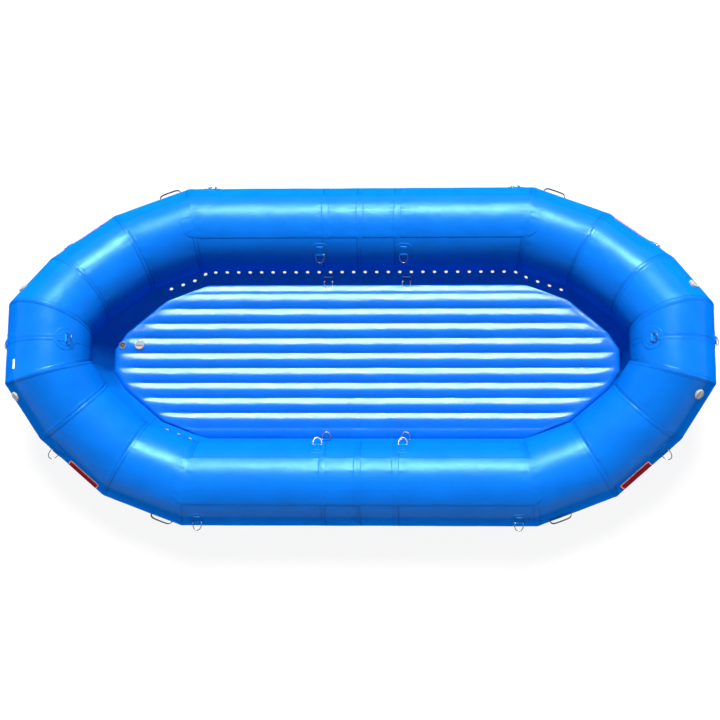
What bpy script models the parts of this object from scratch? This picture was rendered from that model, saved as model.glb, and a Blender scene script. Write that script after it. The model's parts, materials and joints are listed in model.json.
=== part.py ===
"""Self-bailing whitewater raft: an inflated perimeter tube of mitred panels, an I-beam floor
hung in it by a skirt with bailing holes, lashing rings, carry handles and inflation valves.

Units are metres. +X is the bow, +Y is port and +Z is up. The origin is on the ground, under
the middle of the raft. Every tube panel carries its bonded patches, because these are glued on.
"""

import math

import bmesh
import bpy
from mathutils import Matrix, Vector

# Perimeter tube
TUBE_DIAMETER = 0.508
SIDE_LENGTH = 2.062
END_LENGTH = 0.324
BEND_LENGTHS = (0.418, 0.432, 0.281)
BEND_RISES = (0.008, 0.103, 0.104)
BEND_YAWS_DEG = (20.8, 40.6, 57.2)
TUBE_SIDES = 32
PANEL_GAP = 0.0003

# Frame-rub pad, bonded on top of each side panel
RUB_PAD_END_GAP = 0.021
RUB_PAD_THICKNESS = 0.0015
RUB_PAD_CORNER = 0.09
RUB_PAD_INBOARD_DEG = 29.0
RUB_PAD_OUTBOARD_DEG = 40.0

# Lashing ring, its strap and its bonded patch
RING_WIRE = 0.0055
RING_WIDTH = 0.058
RING_REACH = 0.052
RING_SHOULDER = 0.012
RING_CORNER = 0.0025
RING_ARC_STEPS = 8
WIRE_SIDES = 6
BAR_CLEARANCE = 0.0005
STRAP_WIDTH = 0.042
STRAP_START = 0.0042
STRAP_LENGTH = 0.062
STRAP_THICKNESS = 0.0018
LOOP_SIDES = 12
BORE_SIDES = 8
PATCH_WIDTH = 0.098
PATCH_ABOVE_BAR = 0.100
PATCH_BELOW_BAR = 0.060
PATCH_CORNER = 0.030
PATCH_THICKNESS = 0.0020
ROUND_PATCH_DIAMETER = 0.143
BOND_OVERLAP = 0.0005

# Places of the rings: from a side's end, along a bend from its side end, or from the middle of
# the raft, and round the tube from its top
SIDE_RING_FROM_END = {
    "bow_port": 0.071,
    "bow_starboard": 0.069,
    "stern_port": 0.101,
    "stern_starboard": 0.065,
}
SIDE_RING_CLOCK_DEG = 73.0
BEND_RING_ALONG = {"port": 0.313, "starboard": 0.346}
BEND_RING_CLOCK_DEG = 77.0
INNER_RING_PITCH = 0.514
INNER_RING_CENTRE_X = 0.012
INNER_RING_CLOCK_DEG = -54.0
TOP_RING_CLOCK_DEG = -33.75
END_RING_CLOCK_DEG = 86.0
END_RING_Y = {"bow": 0.028, "stern": 0.013}

# Which way a ring points at rest, round the tube from its top
OUT_LEVEL_DEG = 90.0
HANGING_DEG = 156.0
IN_DROOPING_DEG = -110.0
STERN_TOP_DEG = -49.0
BOW_TOP_DEG = 39.0
FLOOR_RING_LIFT_DEG = 0.0

# Carry handle: a stiff webbing loop on each first bend
HANDLE_SPAN = 0.130
HANDLE_STAND = 0.030
HANDLE_SHOULDER = 0.0225
HANDLE_FOOT = 0.012
HANDLE_WEBBING = 0.004
HANDLE_WIDTH = 0.025
HANDLE_ALONG = {
    "bow_port": 0.084,
    "bow_starboard": 0.097,
    "stern_port": 0.082,
    "stern_starboard": 0.090,
}
HANDLE_CLOCK_DEG = 84.375
LOW_HANDLE_CLOCK_DEG = 106.875

# Inflation valve: flange, barrel, sealing seat, push poppet and screw cap
VALVE_SIDES = 16
POPPET_SIDES = 10
FLANGE_DIAMETER = 0.062
FLANGE_THICKNESS = 0.005
BARREL_DIAMETER = 0.042
BARREL_DEPTH = 0.038
BARREL_WALL = 0.004
SEAT_DEPTH = 0.020
SEAT_THICKNESS = 0.003
SEAT_HOLE_DIAMETER = 0.016
POPPET_DISC_DIAMETER = 0.026
POPPET_STEM_DIAMETER = 0.008
POPPET_BUTTON_DIAMETER = 0.013
POPPET_DISC_THICKNESS = 0.003
POPPET_BUTTON_DEPTH = 0.006
CAP_DIAMETER = 0.058
CAP_HEIGHT = 0.011
CAP_EDGE = 0.003
CAP_PLUG = 0.003
CAP_PLUG_CLEARANCE = 0.0006
GRIP_LENGTH = 0.040
GRIP_WIDTH = 0.007
GRIP_HEIGHT = 0.004
VALVE_RECESS = 0.0025
VALVE_ALONG = {"port": 0.250, "starboard": 0.273}
VALVE_CLOCK_DEG = {"bow": 52.0, "stern": 65.0}
FIT_CLEARANCE = 0.0003

# I-beam floor
FLOOR_TUBE_GAP = 0.052
FLOOR_SHIFT = 0.028
FLOOR_TOP = 0.105
FLOOR_THICKNESS = 0.098
FLOOR_SKIN = 0.0012
RIB_PITCH = 0.0954
RIB_COUNT = 11
RIB_DEPTH = 0.015
UNDER_RIB_DEPTH = 0.012
STEPS_PER_RIB = 6
RIB_END_LENGTH = 0.022
RIB_END_DROP = 0.016
FLOOR_VALVE_FROM_END = 0.1425
FLOOR_RELIEF_FROM_END = 0.0355
FLOOR_VALVE_RIB = 1
BOOT_MARGIN = 0.003
BOOT_RISE = 0.001
BOOT_DEPTH = 0.009

# Pressure relief valve of the floor
RELIEF_FLANGE_DIAMETER = 0.046
RELIEF_BORE_DIAMETER = 0.030
RELIEF_BARREL_DIAMETER = 0.036
RELIEF_DEPTH = 0.020
RELIEF_SPOKE_WIDTH = 0.003
RELIEF_SPOKE_THICKNESS = 0.003
RELIEF_HUB_DIAMETER = 0.011
RELIEF_LIFT = 0.003
RELIEF_DISC_DIAMETER = 0.028
RELIEF_DISC_THICKNESS = 0.004
RELIEF_LIP = 0.003
RELIEF_SPOKES = 3

# Bailing skirt between the floor and the tube
SKIRT_TUBE_CLOCK_DEG = -106.875
SKIRT_THICKNESS = 0.0012
SKIRT_FLOOR_Z = 0.083
SKIRT_BEND_GAP = 0.0025
HOLE_DIAMETER = 0.021
HOLE_PITCH = 0.0722
HOLE_ROW_PAST_SIDE = 0.1964
HOLE_ROW_CENTRE_X = 0.023
HOLE_DROP = 0.017
BEND_HOLE_DROP = 0.045
HOLE_SIDES = 8

# Rings on the skirt, by the floor's edge
FLOOR_RING_PITCH = 0.490
FLOOR_RING_CENTRE_X = 0.035
FLOOR_RING_ABOVE_EDGE = 0.030
FLOOR_PAD_WIDTH = 0.066
FLOOR_PAD_ABOVE_BAR = 0.030
FLOOR_PAD_BELOW_BAR = 0.012
FLOOR_PAD_RISE = 0.0040

# One overrun serves every cut, and every round corner has as many steps
OVERRUN = 0.020
CORNER_STEPS = 3

# Layers under 2 mm thick on large faces leave open edges with the EXACT solver
THIN_LAYER_SOLVER = "MANIFOLD"

UP = Vector((0, 0, 1))
TUBE_RADIUS = TUBE_DIAMETER / 2
FLOOR_INSET = TUBE_RADIUS + FLOOR_TUBE_GAP
CORNER_RADIUS_SHARE = 1 / math.cos(math.pi / TUBE_SIDES)

QUARTERS = {
    "bow_port": (1, 1),
    "bow_starboard": (1, -1),
    "stern_port": (-1, 1),
    "stern_starboard": (-1, -1),
}


# Materials

def make_material(name, colour, roughness, metallic):
    material = bpy.data.materials.new(name)
    material.use_nodes = True
    shader = material.node_tree.nodes["Principled BSDF"]
    shader.inputs["Base Color"].default_value = (*colour, 1)
    shader.inputs["Roughness"].default_value = roughness
    shader.inputs["Metallic"].default_value = metallic
    material.diffuse_color = (*colour, 1)
    return material


def build_materials():
    return {
        "tube": make_material("coated_fabric", (0.0, 0.18, 0.85), 0.35, 0.0),
        "floor": make_material("floor_fabric", (0.0, 0.22, 0.90), 0.25, 0.0),
        "skirt": make_material("skirt_fabric", (0.0, 0.15, 0.75), 0.40, 0.0),
        "steel": make_material("ring_steel", (0.55, 0.56, 0.55), 0.30, 1.0),
        "webbing": make_material("dark_webbing", (0.03, 0.035, 0.04), 0.80, 0.0),
        "plastic": make_material("grey_plastic", (0.50, 0.50, 0.50), 0.50, 0.0),
        "dark": make_material("dark_plastic", (0.05, 0.06, 0.07), 0.50, 0.0),
    }


# Mesh helpers

def new_object(name, mesh, material=None, smooth_angle_deg=None):
    thing = bpy.data.objects.new(name, mesh)
    bpy.context.scene.collection.objects.link(thing)
    if material:
        finish(thing, material, smooth_angle_deg)
    return thing


def finish(thing, material, smooth_angle_deg=None):
    thing.data.materials.clear()
    thing.data.materials.append(material)
    if smooth_angle_deg:
        thing.data.shade_smooth()
        thing.data.set_sharp_from_angle(angle=math.radians(smooth_angle_deg))


def mesh_from(name, points, faces):
    """A mesh with its faces turned outwards."""
    mesh = bpy.data.meshes.new(name)
    mesh.from_pydata([tuple(p) for p in points], [], faces)
    shape = bmesh.new()
    shape.from_mesh(mesh)
    bmesh.ops.recalc_face_normals(shape, faces=shape.faces)
    shape.to_mesh(mesh)
    shape.free()
    return mesh


def bridge(count, first, second):
    """Quads between two closed rings of points, given by their first index."""
    return [
        (first + k, first + (k + 1) % count, second + (k + 1) % count, second + k)
        for k in range(count)
    ]


def prisms(name, outline, low, high, frames):
    """An outline in each frame's x and y, drawn out from low to high along its z."""
    count = len(outline)
    points, faces = [], []
    for frame in frames:
        foot = len(points)
        top = foot + count
        points += [frame @ Vector((x, y, z)) for z in (low, high) for x, y in outline]
        faces += bridge(count, foot, top)
        faces += [tuple(range(foot, top)), tuple(range(top, top + count))]
    return new_object(name, mesh_from(name, points, faces))


def prism(name, outline, low, high, frame):
    return prisms(name, outline, low, high, [frame])


def turned(name, profile, sides, frame):
    """A profile of (radius, height) pairs turned round a frame's z axis.

    A profile that starts and ends on the axis closes there, and any other is a closed ring.
    """
    solid = profile[0][0] == 0
    rings = profile[1:-1] if solid else profile
    points = [
        frame @ Vector((r * math.cos(a), r * math.sin(a), z))
        for r, z in rings
        for a in (2 * math.pi * (k + 0.5) / sides for k in range(sides))
    ]
    faces = []
    last = len(rings) - 1
    for i in range(last):
        faces += bridge(sides, i * sides, (i + 1) * sides)
    if solid:
        first_pole, last_pole = len(points), len(points) + 1
        points += [frame @ Vector((0, 0, profile[0][1])), frame @ Vector((0, 0, profile[-1][1]))]
        faces += [(first_pole, (k + 1) % sides, k) for k in range(sides)]
        top = last * sides
        faces += [(last_pole, top + k, top + (k + 1) % sides) for k in range(sides)]
    else:
        faces += bridge(sides, last * sides, 0)
    return new_object(name, mesh_from(name, points, faces))


def cylinder(name, diameter, low, high, sides, frame):
    radius = diameter / 2
    return turned(name, [(0, low), (radius, low), (radius, high), (0, high)], sides, frame)


def combine(target, tool, operation, solver="EXACT"):
    """Unite the target with a tool, or cut the tool from it, and remove the tool."""
    modifier = target.modifiers.new("shape", "BOOLEAN")
    modifier.operation = operation
    modifier.solver = solver
    modifier.object = tool
    evaluated = target.evaluated_get(bpy.context.evaluated_depsgraph_get())
    mesh = bpy.data.meshes.new_from_object(evaluated)
    target.modifiers.clear()
    target.data = mesh
    mesh.name = target.name
    bpy.data.objects.remove(tool)


def rounded_outline(low_x, high_x, low_y, high_y, corner):
    """A rectangle with round corners, anticlockwise."""
    corner = min(corner, (high_x - low_x) / 2, (high_y - low_y) / 2)
    centres = (
        (high_x - corner, high_y - corner),
        (low_x + corner, high_y - corner),
        (low_x + corner, low_y + corner),
        (high_x - corner, low_y + corner),
    )
    outline = []
    for quarter, (cx, cy) in enumerate(centres):
        for k in range(CORNER_STEPS + 1):
            angle = math.pi / 2 * (quarter + k / CORNER_STEPS)
            outline.append((cx + corner * math.cos(angle), cy + corner * math.sin(angle)))
    return outline


def round_outline(diameter, sides):
    radius = diameter / 2
    turns = (2 * math.pi * k / sides for k in range(sides))
    return [(radius * math.cos(a), radius * math.sin(a)) for a in turns]


# Centreline of the tube

def quarter_points():
    """The bow-port quarter's corners, from the side panel to the end panel."""
    runs = [math.sqrt(l * l - r * r) for l, r in zip(BEND_LENGTHS, BEND_RISES)]
    yaws = [math.radians(yaw) for yaw in BEND_YAWS_DEG]
    half_width = END_LENGTH / 2 + sum(run * math.sin(yaw) for run, yaw in zip(runs, yaws))
    points = [Vector((SIDE_LENGTH / 2, half_width, TUBE_RADIUS))]
    for run, yaw, rise in zip(runs, yaws, BEND_RISES):
        step = Vector((run * math.cos(yaw), -run * math.sin(yaw), rise))
        points.append(points[-1] + step)
    return points


def mirrored(point, signs):
    return Vector((point.x * signs[0], point.y * signs[1], point.z))


class Panel:
    """A straight stretch of tube between two mitres, travelled with the outboard side on the left."""

    def __init__(self, name, start, end):
        self.name = name
        self.start = start
        self.end = end
        self.along = (end - start).normalized()
        self.out = UP.cross(self.along).normalized()
        self.top = self.along.cross(self.out)
        self.start_plane = self.end_plane = None

    def direction(self, clock):
        """Unit vector away from the axis, at an angle from the top towards outboard."""
        return math.cos(clock) * self.top + math.sin(clock) * self.out

    def frame(self, place, clock, height=0.0):
        """Frame on the skin: x along the tube, y round it towards outboard, z outwards."""
        outward = self.direction(clock)
        around = outward.cross(self.along)
        origin = self.start + place * self.along + (TUBE_RADIUS + height) * outward
        return frame_of(self.along, around, outward, origin)

    @property
    def length(self):
        return (self.end - self.start).length


def from_side_end(panel, quarter, distance):
    """A distance from the end of a bend that is nearer to the side tube, as a place on it."""
    ahead, facing = QUARTERS[quarter]
    return distance if ahead * facing > 0 else panel.length - distance


def frame_of(x_axis, y_axis, z_axis, origin):
    turn = Matrix((x_axis, y_axis, z_axis)).transposed().to_4x4()
    return Matrix.Translation(origin) @ turn


def build_panels():
    """All 16 panels in travelling order: port side, bow, starboard side, stern."""
    quarter = quarter_points()
    corners = []
    for name, order in (
        ("bow_port", range(4)),
        ("bow_starboard", range(3, -1, -1)),
        ("stern_starboard", range(4)),
        ("stern_port", range(3, -1, -1)),
    ):
        corners += [(name, k, mirrored(quarter[k], QUARTERS[name])) for k in order]
    panels = []
    for (quarter_a, a, start), (quarter_b, b, end) in zip(corners, corners[1:] + corners[:1]):
        if quarter_a == quarter_b:
            name = f"bend_{'abc'[min(a, b)]}_{quarter_a}"
        elif a == 3:
            name = f"end_tube_{quarter_a.split('_')[0]}"
        else:
            name = f"side_tube_{quarter_a.split('_')[1]}"
        panels.append(Panel(name, start, end))
    for before, after in zip(panels, panels[1:] + panels[:1]):
        mitre = (before.along + after.along).normalized()
        before.end_plane = after.start_plane = mitre
    return {panel.name: panel for panel in panels}


def tube_solid(name, panel, extra_radius=0.0):
    """The panel's inflated cell, its flats at the tube's radius, ended at both mitres."""
    radius = (TUBE_RADIUS + extra_radius) * CORNER_RADIUS_SHARE
    points = []
    for origin, plane, inward in (
        (panel.start, panel.start_plane, PANEL_GAP / 2),
        (panel.end, panel.end_plane, -PANEL_GAP / 2),
    ):
        for k in range(TUBE_SIDES):
            clock = 2 * math.pi * (k + 0.5) / TUBE_SIDES
            offset = radius * panel.direction(clock)
            slide = (inward - offset.dot(plane)) / panel.along.dot(plane)
            points.append(origin + offset + slide * panel.along)
    faces = bridge(TUBE_SIDES, 0, TUBE_SIDES)
    faces += [tuple(range(TUBE_SIDES)), tuple(range(TUBE_SIDES, 2 * TUBE_SIDES))]
    return new_object(name, mesh_from(name, points, faces))


# What is bonded on a panel

def bond(target, panel, outline, thickness, frame):
    """Raise an outline on the tube's skin by a thickness and unite it with the panel."""
    raised = tube_solid("raised", panel, thickness)
    reach = max(abs(y) for _, y in outline)
    root = TUBE_RADIUS - math.sqrt(TUBE_RADIUS**2 - min(reach, TUBE_RADIUS) ** 2)
    stencil = prism("stencil", outline, -root - OVERRUN, OVERRUN, frame)
    combine(raised, stencil, "INTERSECT", THIN_LAYER_SOLVER)
    combine(target, raised, "UNION", THIN_LAYER_SOLVER)


def add_rub_pad(target, panel):
    inboard = math.radians(RUB_PAD_INBOARD_DEG)
    outboard = math.radians(RUB_PAD_OUTBOARD_DEG)
    middle = (outboard - inboard) / 2
    half = TUBE_RADIUS * math.sin((outboard + inboard) / 2)
    length = panel.length / 2 - RUB_PAD_END_GAP
    outline = rounded_outline(-length, length, -half, half, RUB_PAD_CORNER)
    frame = panel.frame(panel.length / 2, middle)
    bond(target, panel, outline, RUB_PAD_THICKNESS, frame)


def strap_radius():
    return RING_WIRE / 2 + BAR_CLEARANCE + STRAP_THICKNESS


def bar_height():
    """Height of a ring's bar over the skin that its patch is bonded to."""
    return PATCH_THICKNESS + strap_radius() - BOND_OVERLAP


def add_strap_loop(target, frame):
    """The turn of webbing that holds a ring's bar; the frame is on the bar, x along it."""
    half = STRAP_WIDTH / 2
    turned_frame = frame @ Matrix.Rotation(math.pi / 2, 4, "Y")
    loop = cylinder("loop", 2 * strap_radius(), -half, half, LOOP_SIDES, turned_frame)
    combine(target, loop, "UNION", THIN_LAYER_SOLVER)
    bore_diameter = RING_WIRE + 2 * BAR_CLEARANCE
    reach = half + OVERRUN
    bore = cylinder("bore", bore_diameter, -reach, reach, BORE_SIDES, turned_frame)
    combine(target, bore, "DIFFERENCE", THIN_LAYER_SOLVER)


def add_ring_seat(target, panel, place, clock, is_round):
    """A ring's patch, the doubled strap on it and the loop round the bar."""
    frame = panel.frame(place, clock)
    towards_top = -1 if clock > 0 else 1
    if is_round:
        outline = round_outline(ROUND_PATCH_DIAMETER, VALVE_SIDES)
    else:
        ends = sorted((towards_top * PATCH_ABOVE_BAR, -towards_top * PATCH_BELOW_BAR))
        half = PATCH_WIDTH / 2
        outline = rounded_outline(-half, half, *ends, PATCH_CORNER)
    bond(target, panel, outline, PATCH_THICKNESS, frame)
    half = STRAP_WIDTH / 2
    low, high = sorted((towards_top * STRAP_START, towards_top * STRAP_LENGTH))
    strap = [(-half, low), (half, low), (half, high), (-half, high)]
    bond(target, panel, strap, PATCH_THICKNESS + 2 * STRAP_THICKNESS, frame)
    add_strap_loop(target, panel.frame(place, clock, bar_height()))


# Lashing rings

def ring_path():
    """The wire's middle line: a straight bar, two shoulders and half an ellipse."""
    half = (RING_WIDTH - RING_WIRE) / 2
    shoulder = RING_SHOULDER
    reach = RING_REACH - RING_WIRE / 2 - shoulder
    path = [(-half + RING_CORNER, 0), (half - RING_CORNER, 0), (half, RING_CORNER)]
    for k in range(RING_ARC_STEPS + 1):
        angle = math.pi * k / RING_ARC_STEPS
        path.append((half * math.cos(angle), shoulder + reach * math.sin(angle)))
    path.append((-half, RING_CORNER))
    return [Vector((x, y, 0)) for x, y in path]


def build_ring(name, bar, outwards, along, material):
    """A ring whose origin is the middle of its bar, which is the axis it swings about."""
    path = ring_path()
    count = len(path)
    sides = WIRE_SIDES
    points = []
    for i, point in enumerate(path):
        before = (point - path[i - 1]).normalized()
        after = (path[(i + 1) % count] - point).normalized()
        tangent = (before + after).normalized()
        widen = 1 / max(tangent.dot(after), 0.5)
        side = UP.cross(tangent) * widen
        for k in range(sides):
            angle = 2 * math.pi * (k + 0.5) / sides
            offset = math.cos(angle) * side + math.sin(angle) * UP
            points.append(point + RING_WIRE / 2 * offset)
    faces = []
    for i in range(count):
        faces += bridge(sides, i * sides, (i + 1) % count * sides)
    ring = new_object(name, mesh_from(name, points, faces), material, 50)
    ring.matrix_world = frame_of(along, outwards, along.cross(outwards), bar)
    return ring


def add_tube_rings(panels, tubes, material):
    """The rings on the tube, each on the panel that carries its patch."""
    seats = []
    for quarter, (ahead, facing) in QUARTERS.items():
        side = quarter.split("_")[1]
        panel = f"side_tube_{side}"
        level = HANGING_DEG if side == "port" else OUT_LEVEL_DEG
        from_middle = SIDE_LENGTH / 2 - SIDE_RING_FROM_END[quarter]
        outer = SIDE_LENGTH / 2 + facing * ahead * from_middle
        seats.append((f"ring_side_{quarter}", panel, outer, SIDE_RING_CLOCK_DEG, level))
        inner_x = INNER_RING_CENTRE_X + ahead * INNER_RING_PITCH / 2
        inner = SIDE_LENGTH / 2 + facing * inner_x
        clock_deg = INNER_RING_CLOCK_DEG
        seats.append((f"ring_inner_{quarter}", panel, inner, clock_deg, IN_DROOPING_DEG))
        bend = f"bend_b_{quarter}"
        place = from_side_end(panels[bend], quarter, BEND_RING_ALONG[side])
        seats.append((f"ring_bend_{quarter}", bend, place, BEND_RING_CLOCK_DEG, level))
    for end, ahead, top_deg in (("bow", 1, BOW_TOP_DEG), ("stern", -1, STERN_TOP_DEG)):
        panel = f"end_tube_{end}"
        middle = END_LENGTH / 2
        outer = middle - ahead * END_RING_Y[end]
        seats.append((f"ring_end_{end}", panel, outer, END_RING_CLOCK_DEG, HANGING_DEG))
        seats.append((f"ring_top_{end}", panel, middle, TOP_RING_CLOCK_DEG, top_deg))
    for name, panel_name, place, clock_deg, pointing_deg in seats:
        panel = panels[panel_name]
        clock = math.radians(clock_deg)
        is_round = name.startswith("ring_top")
        add_ring_seat(tubes[panel_name], panel, place, clock, is_round)
        bar = panel.frame(place, clock, bar_height()).translation
        outwards = panel.direction(math.radians(pointing_deg))
        build_ring(name, bar, outwards, panel.along, material)


# Carry handles

def handle_outline():
    """The bent webbing seen along its width: x along the tube, y away from it."""
    half = HANDLE_SPAN / 2
    rise = HANDLE_STAND
    shoulder = HANDLE_SHOULDER
    outer = [
        (-half - HANDLE_FOOT, HANDLE_WEBBING),
        (-half - HANDLE_WEBBING, HANDLE_WEBBING),
        (-half - HANDLE_WEBBING / 2, shoulder),
        (-half + rise / 2, rise),
        (half - rise / 2, rise),
        (half + HANDLE_WEBBING / 2, shoulder),
        (half + HANDLE_WEBBING, HANDLE_WEBBING),
        (half + HANDLE_FOOT, HANDLE_WEBBING),
    ]
    inner = [
        (half + HANDLE_FOOT, 0),
        (half, 0),
        (half - HANDLE_WEBBING / 2, shoulder - HANDLE_WEBBING),
        (half - rise / 2, rise - HANDLE_WEBBING),
        (-half + rise / 2, rise - HANDLE_WEBBING),
        (-half + HANDLE_WEBBING / 2, shoulder - HANDLE_WEBBING),
        (-half, 0),
        (-half - HANDLE_FOOT, 0),
    ]
    return outer + inner


def add_handles(panels, material):
    for quarter in QUARTERS:
        panel = panels[f"bend_a_{quarter}"]
        place = from_side_end(panel, quarter, HANDLE_ALONG[quarter])
        low = quarter == "stern_starboard"
        clock = math.radians(LOW_HANDLE_CLOCK_DEG if low else HANDLE_CLOCK_DEG)
        corner_height = TUBE_RADIUS * (CORNER_RADIUS_SHARE - 1)
        skin = panel.frame(place, clock, corner_height + FIT_CLEARANCE)
        x_axis, y_axis, z_axis = (skin.col[k].to_3d() for k in range(3))
        frame = frame_of(x_axis, z_axis, -y_axis, skin.translation)
        half = HANDLE_WIDTH / 2
        handle = prism(f"handle_{quarter}", handle_outline(), -half, half, frame)
        finish(handle, material, 50)


# Valves

def cut_valve_pocket(target, frame):
    """A flat seat for the flange and a pocket for the barrel; the frame is on the flange's foot."""
    seat_radius = FLANGE_DIAMETER / 2 + FIT_CLEARANCE
    pocket_radius = BARREL_DIAMETER / 2 + FIT_CLEARANCE
    floor = -FIT_CLEARANCE
    bottom = -BARREL_DEPTH - 2 * POPPET_DISC_THICKNESS
    profile = [(0, bottom), (pocket_radius, bottom), (pocket_radius, floor)]
    profile += [(seat_radius, floor), (seat_radius, OVERRUN), (0, OVERRUN)]
    combine(target, turned("pocket", profile, VALVE_SIDES, frame), "DIFFERENCE")


def build_valve(suffix, frame, materials):
    """Body, poppet and cap; the frame is on the flange's foot, with z out of the tube."""
    bore = BARREL_DIAMETER / 2 - BARREL_WALL
    barrel = BARREL_DIAMETER / 2
    flange = FLANGE_DIAMETER / 2
    hole = SEAT_HOLE_DIAMETER / 2
    seat_foot = -SEAT_DEPTH - SEAT_THICKNESS
    body_profile = [
        (hole, -SEAT_DEPTH),
        (bore, -SEAT_DEPTH),
        (bore, FLANGE_THICKNESS),
        (flange, FLANGE_THICKNESS),
        (flange, 0),
        (barrel, 0),
        (barrel, -BARREL_DEPTH),
        (bore, -BARREL_DEPTH),
        (bore, seat_foot),
        (hole, seat_foot),
    ]
    body = turned(f"valve_body_{suffix}", body_profile, VALVE_SIDES, frame)
    finish(body, materials["plastic"], 40)

    disc_top = seat_foot - FIT_CLEARANCE
    disc_foot = disc_top - POPPET_DISC_THICKNESS
    disc = POPPET_DISC_DIAMETER / 2
    stem = POPPET_STEM_DIAMETER / 2
    button = POPPET_BUTTON_DIAMETER / 2
    button_top = -POPPET_BUTTON_DEPTH
    button_foot = button_top - POPPET_DISC_THICKNESS
    poppet_profile = [
        (0, disc_foot),
        (disc, disc_foot),
        (disc, disc_top),
        (stem, disc_top),
        (stem, button_foot),
        (button, button_foot),
        (button, button_top),
        (0, button_top),
    ]
    poppet = turned(f"valve_poppet_{suffix}", poppet_profile, POPPET_SIDES, frame)
    finish(poppet, materials["dark"], 40)

    cap_foot = FLANGE_THICKNESS + FIT_CLEARANCE
    plug = bore - CAP_PLUG_CLEARANCE
    cap = CAP_DIAMETER / 2
    cap_top = cap_foot + CAP_HEIGHT
    cap_profile = [
        (0, FLANGE_THICKNESS - CAP_PLUG),
        (plug, FLANGE_THICKNESS - CAP_PLUG),
        (plug, cap_foot),
        (cap, cap_foot),
        (cap, cap_top - CAP_EDGE),
        (cap - CAP_EDGE, cap_top),
        (0, cap_top),
    ]
    lid = turned(f"valve_cap_{suffix}", cap_profile, VALVE_SIDES, frame)
    half_length, half_width = GRIP_LENGTH / 2, GRIP_WIDTH / 2
    outline = rounded_outline(-half_length, half_length, -half_width, half_width, half_width)
    grip_foot = cap_top - CAP_EDGE
    combine(lid, prism("grip", outline, grip_foot, cap_top + GRIP_HEIGHT, frame), "UNION")
    finish(lid, materials["plastic"], 40)


def add_tube_valves(panels, tubes, materials):
    for quarter in QUARTERS:
        end, side = quarter.split("_")
        name = f"bend_c_{quarter}"
        panel = panels[name]
        place = from_side_end(panel, quarter, VALVE_ALONG[side])
        frame = panel.frame(place, math.radians(VALVE_CLOCK_DEG[end]), -VALVE_RECESS)
        cut_valve_pocket(tubes[name], frame)
        build_valve(quarter, frame, materials)


def build_relief_valve(frame, materials):
    """Relief valve: a flanged barrel with spokes, and the disc that lifts under them."""
    bore = RELIEF_BORE_DIAMETER / 2
    barrel = RELIEF_BARREL_DIAMETER / 2
    flange = RELIEF_FLANGE_DIAMETER / 2
    disc = RELIEF_DISC_DIAMETER / 2
    lip = disc - RELIEF_LIP
    lip_top = -RELIEF_DEPTH + RELIEF_LIP
    profile = [
        (lip, -RELIEF_DEPTH),
        (lip, lip_top),
        (bore, lip_top),
        (bore, FLANGE_THICKNESS),
        (flange, FLANGE_THICKNESS),
        (flange, 0),
        (barrel, 0),
        (barrel, -RELIEF_DEPTH),
    ]
    body = turned("relief_valve_body", profile, VALVE_SIDES, frame)
    spoke_foot = FLANGE_THICKNESS - RELIEF_SPOKE_THICKNESS
    reach = (bore + flange) / 2
    half = RELIEF_SPOKE_WIDTH / 2
    for k in range(RELIEF_SPOKES):
        turn = frame @ Matrix.Rotation(math.pi * k / RELIEF_SPOKES, 4, "Z")
        bar = [(-reach, -half), (reach, -half), (reach, half), (-reach, half)]
        combine(body, prism("spoke", bar, spoke_foot, FLANGE_THICKNESS, turn), "UNION")
    hub = cylinder("hub", RELIEF_HUB_DIAMETER, spoke_foot, FLANGE_THICKNESS, LOOP_SIDES, frame)
    combine(body, hub, "UNION")
    finish(body, materials["plastic"], 40)

    foot = lip_top + FIT_CLEARANCE
    stem = POPPET_STEM_DIAMETER / 2
    disc_top = foot + RELIEF_DISC_THICKNESS
    stem_top = spoke_foot - RELIEF_LIFT - FIT_CLEARANCE
    disc_profile = [(0, foot), (disc, foot), (disc, disc_top), (stem, disc_top)]
    disc_profile += [(stem, stem_top), (0, stem_top)]
    plug = turned("relief_valve_disc", disc_profile, VALVE_SIDES, frame)
    finish(plug, materials["dark"], 40)


# Floor

def inset_corners(inset):
    """The quarter's corners in plan, moved square to the centreline towards the middle."""
    plan = [Vector((p.x, p.y)) for p in quarter_points()]
    yaws = [0.0] + [math.radians(yaw) for yaw in BEND_YAWS_DEG] + [math.pi / 2]
    corners = []
    for point, before, after in zip(plan, yaws, yaws[1:]):
        middle = (before + after) / 2
        reach = inset / math.cos((after - before) / 2)
        corners.append(point - reach * Vector((math.sin(middle), math.cos(middle))))
    return corners


def half_length_at(y, inset):
    """Half the length of the inset outline at a distance y from the middle line."""
    corners = inset_corners(inset)
    y = abs(y)
    if y <= corners[-1].y:
        return corners[-1].x
    for outer, inner in zip(corners, corners[1:]):
        if inner.y <= y <= outer.y:
            share = (y - inner.y) / (outer.y - inner.y)
            return inner.x + share * (outer.x - inner.x)
    return corners[0].x


def rib_edges():
    """The grooves across the floor; the outermost ribs end at the floor's edge."""
    half_width = inset_corners(FLOOR_INSET)[0].y
    grooves = [RIB_PITCH * (k - RIB_COUNT / 2) for k in range(1, RIB_COUNT)]
    inside = [g for g in grooves if abs(g) < half_width - RIB_PITCH / 4]
    return [-half_width] + inside + [half_width]


def rib_stations(low, high, steps):
    return [low + (high - low) * k / steps for k in range(steps + 1)]


def arch(y, low, high, depth):
    """Height of a rib's round back over its edges."""
    half = (high - low) / 2
    depth = min(depth, half)
    radius = (half * half + depth * depth) / (2 * depth)
    off = y - (low + high) / 2
    return math.sqrt(max(radius * radius - off * off, 0)) - (radius - depth)


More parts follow.
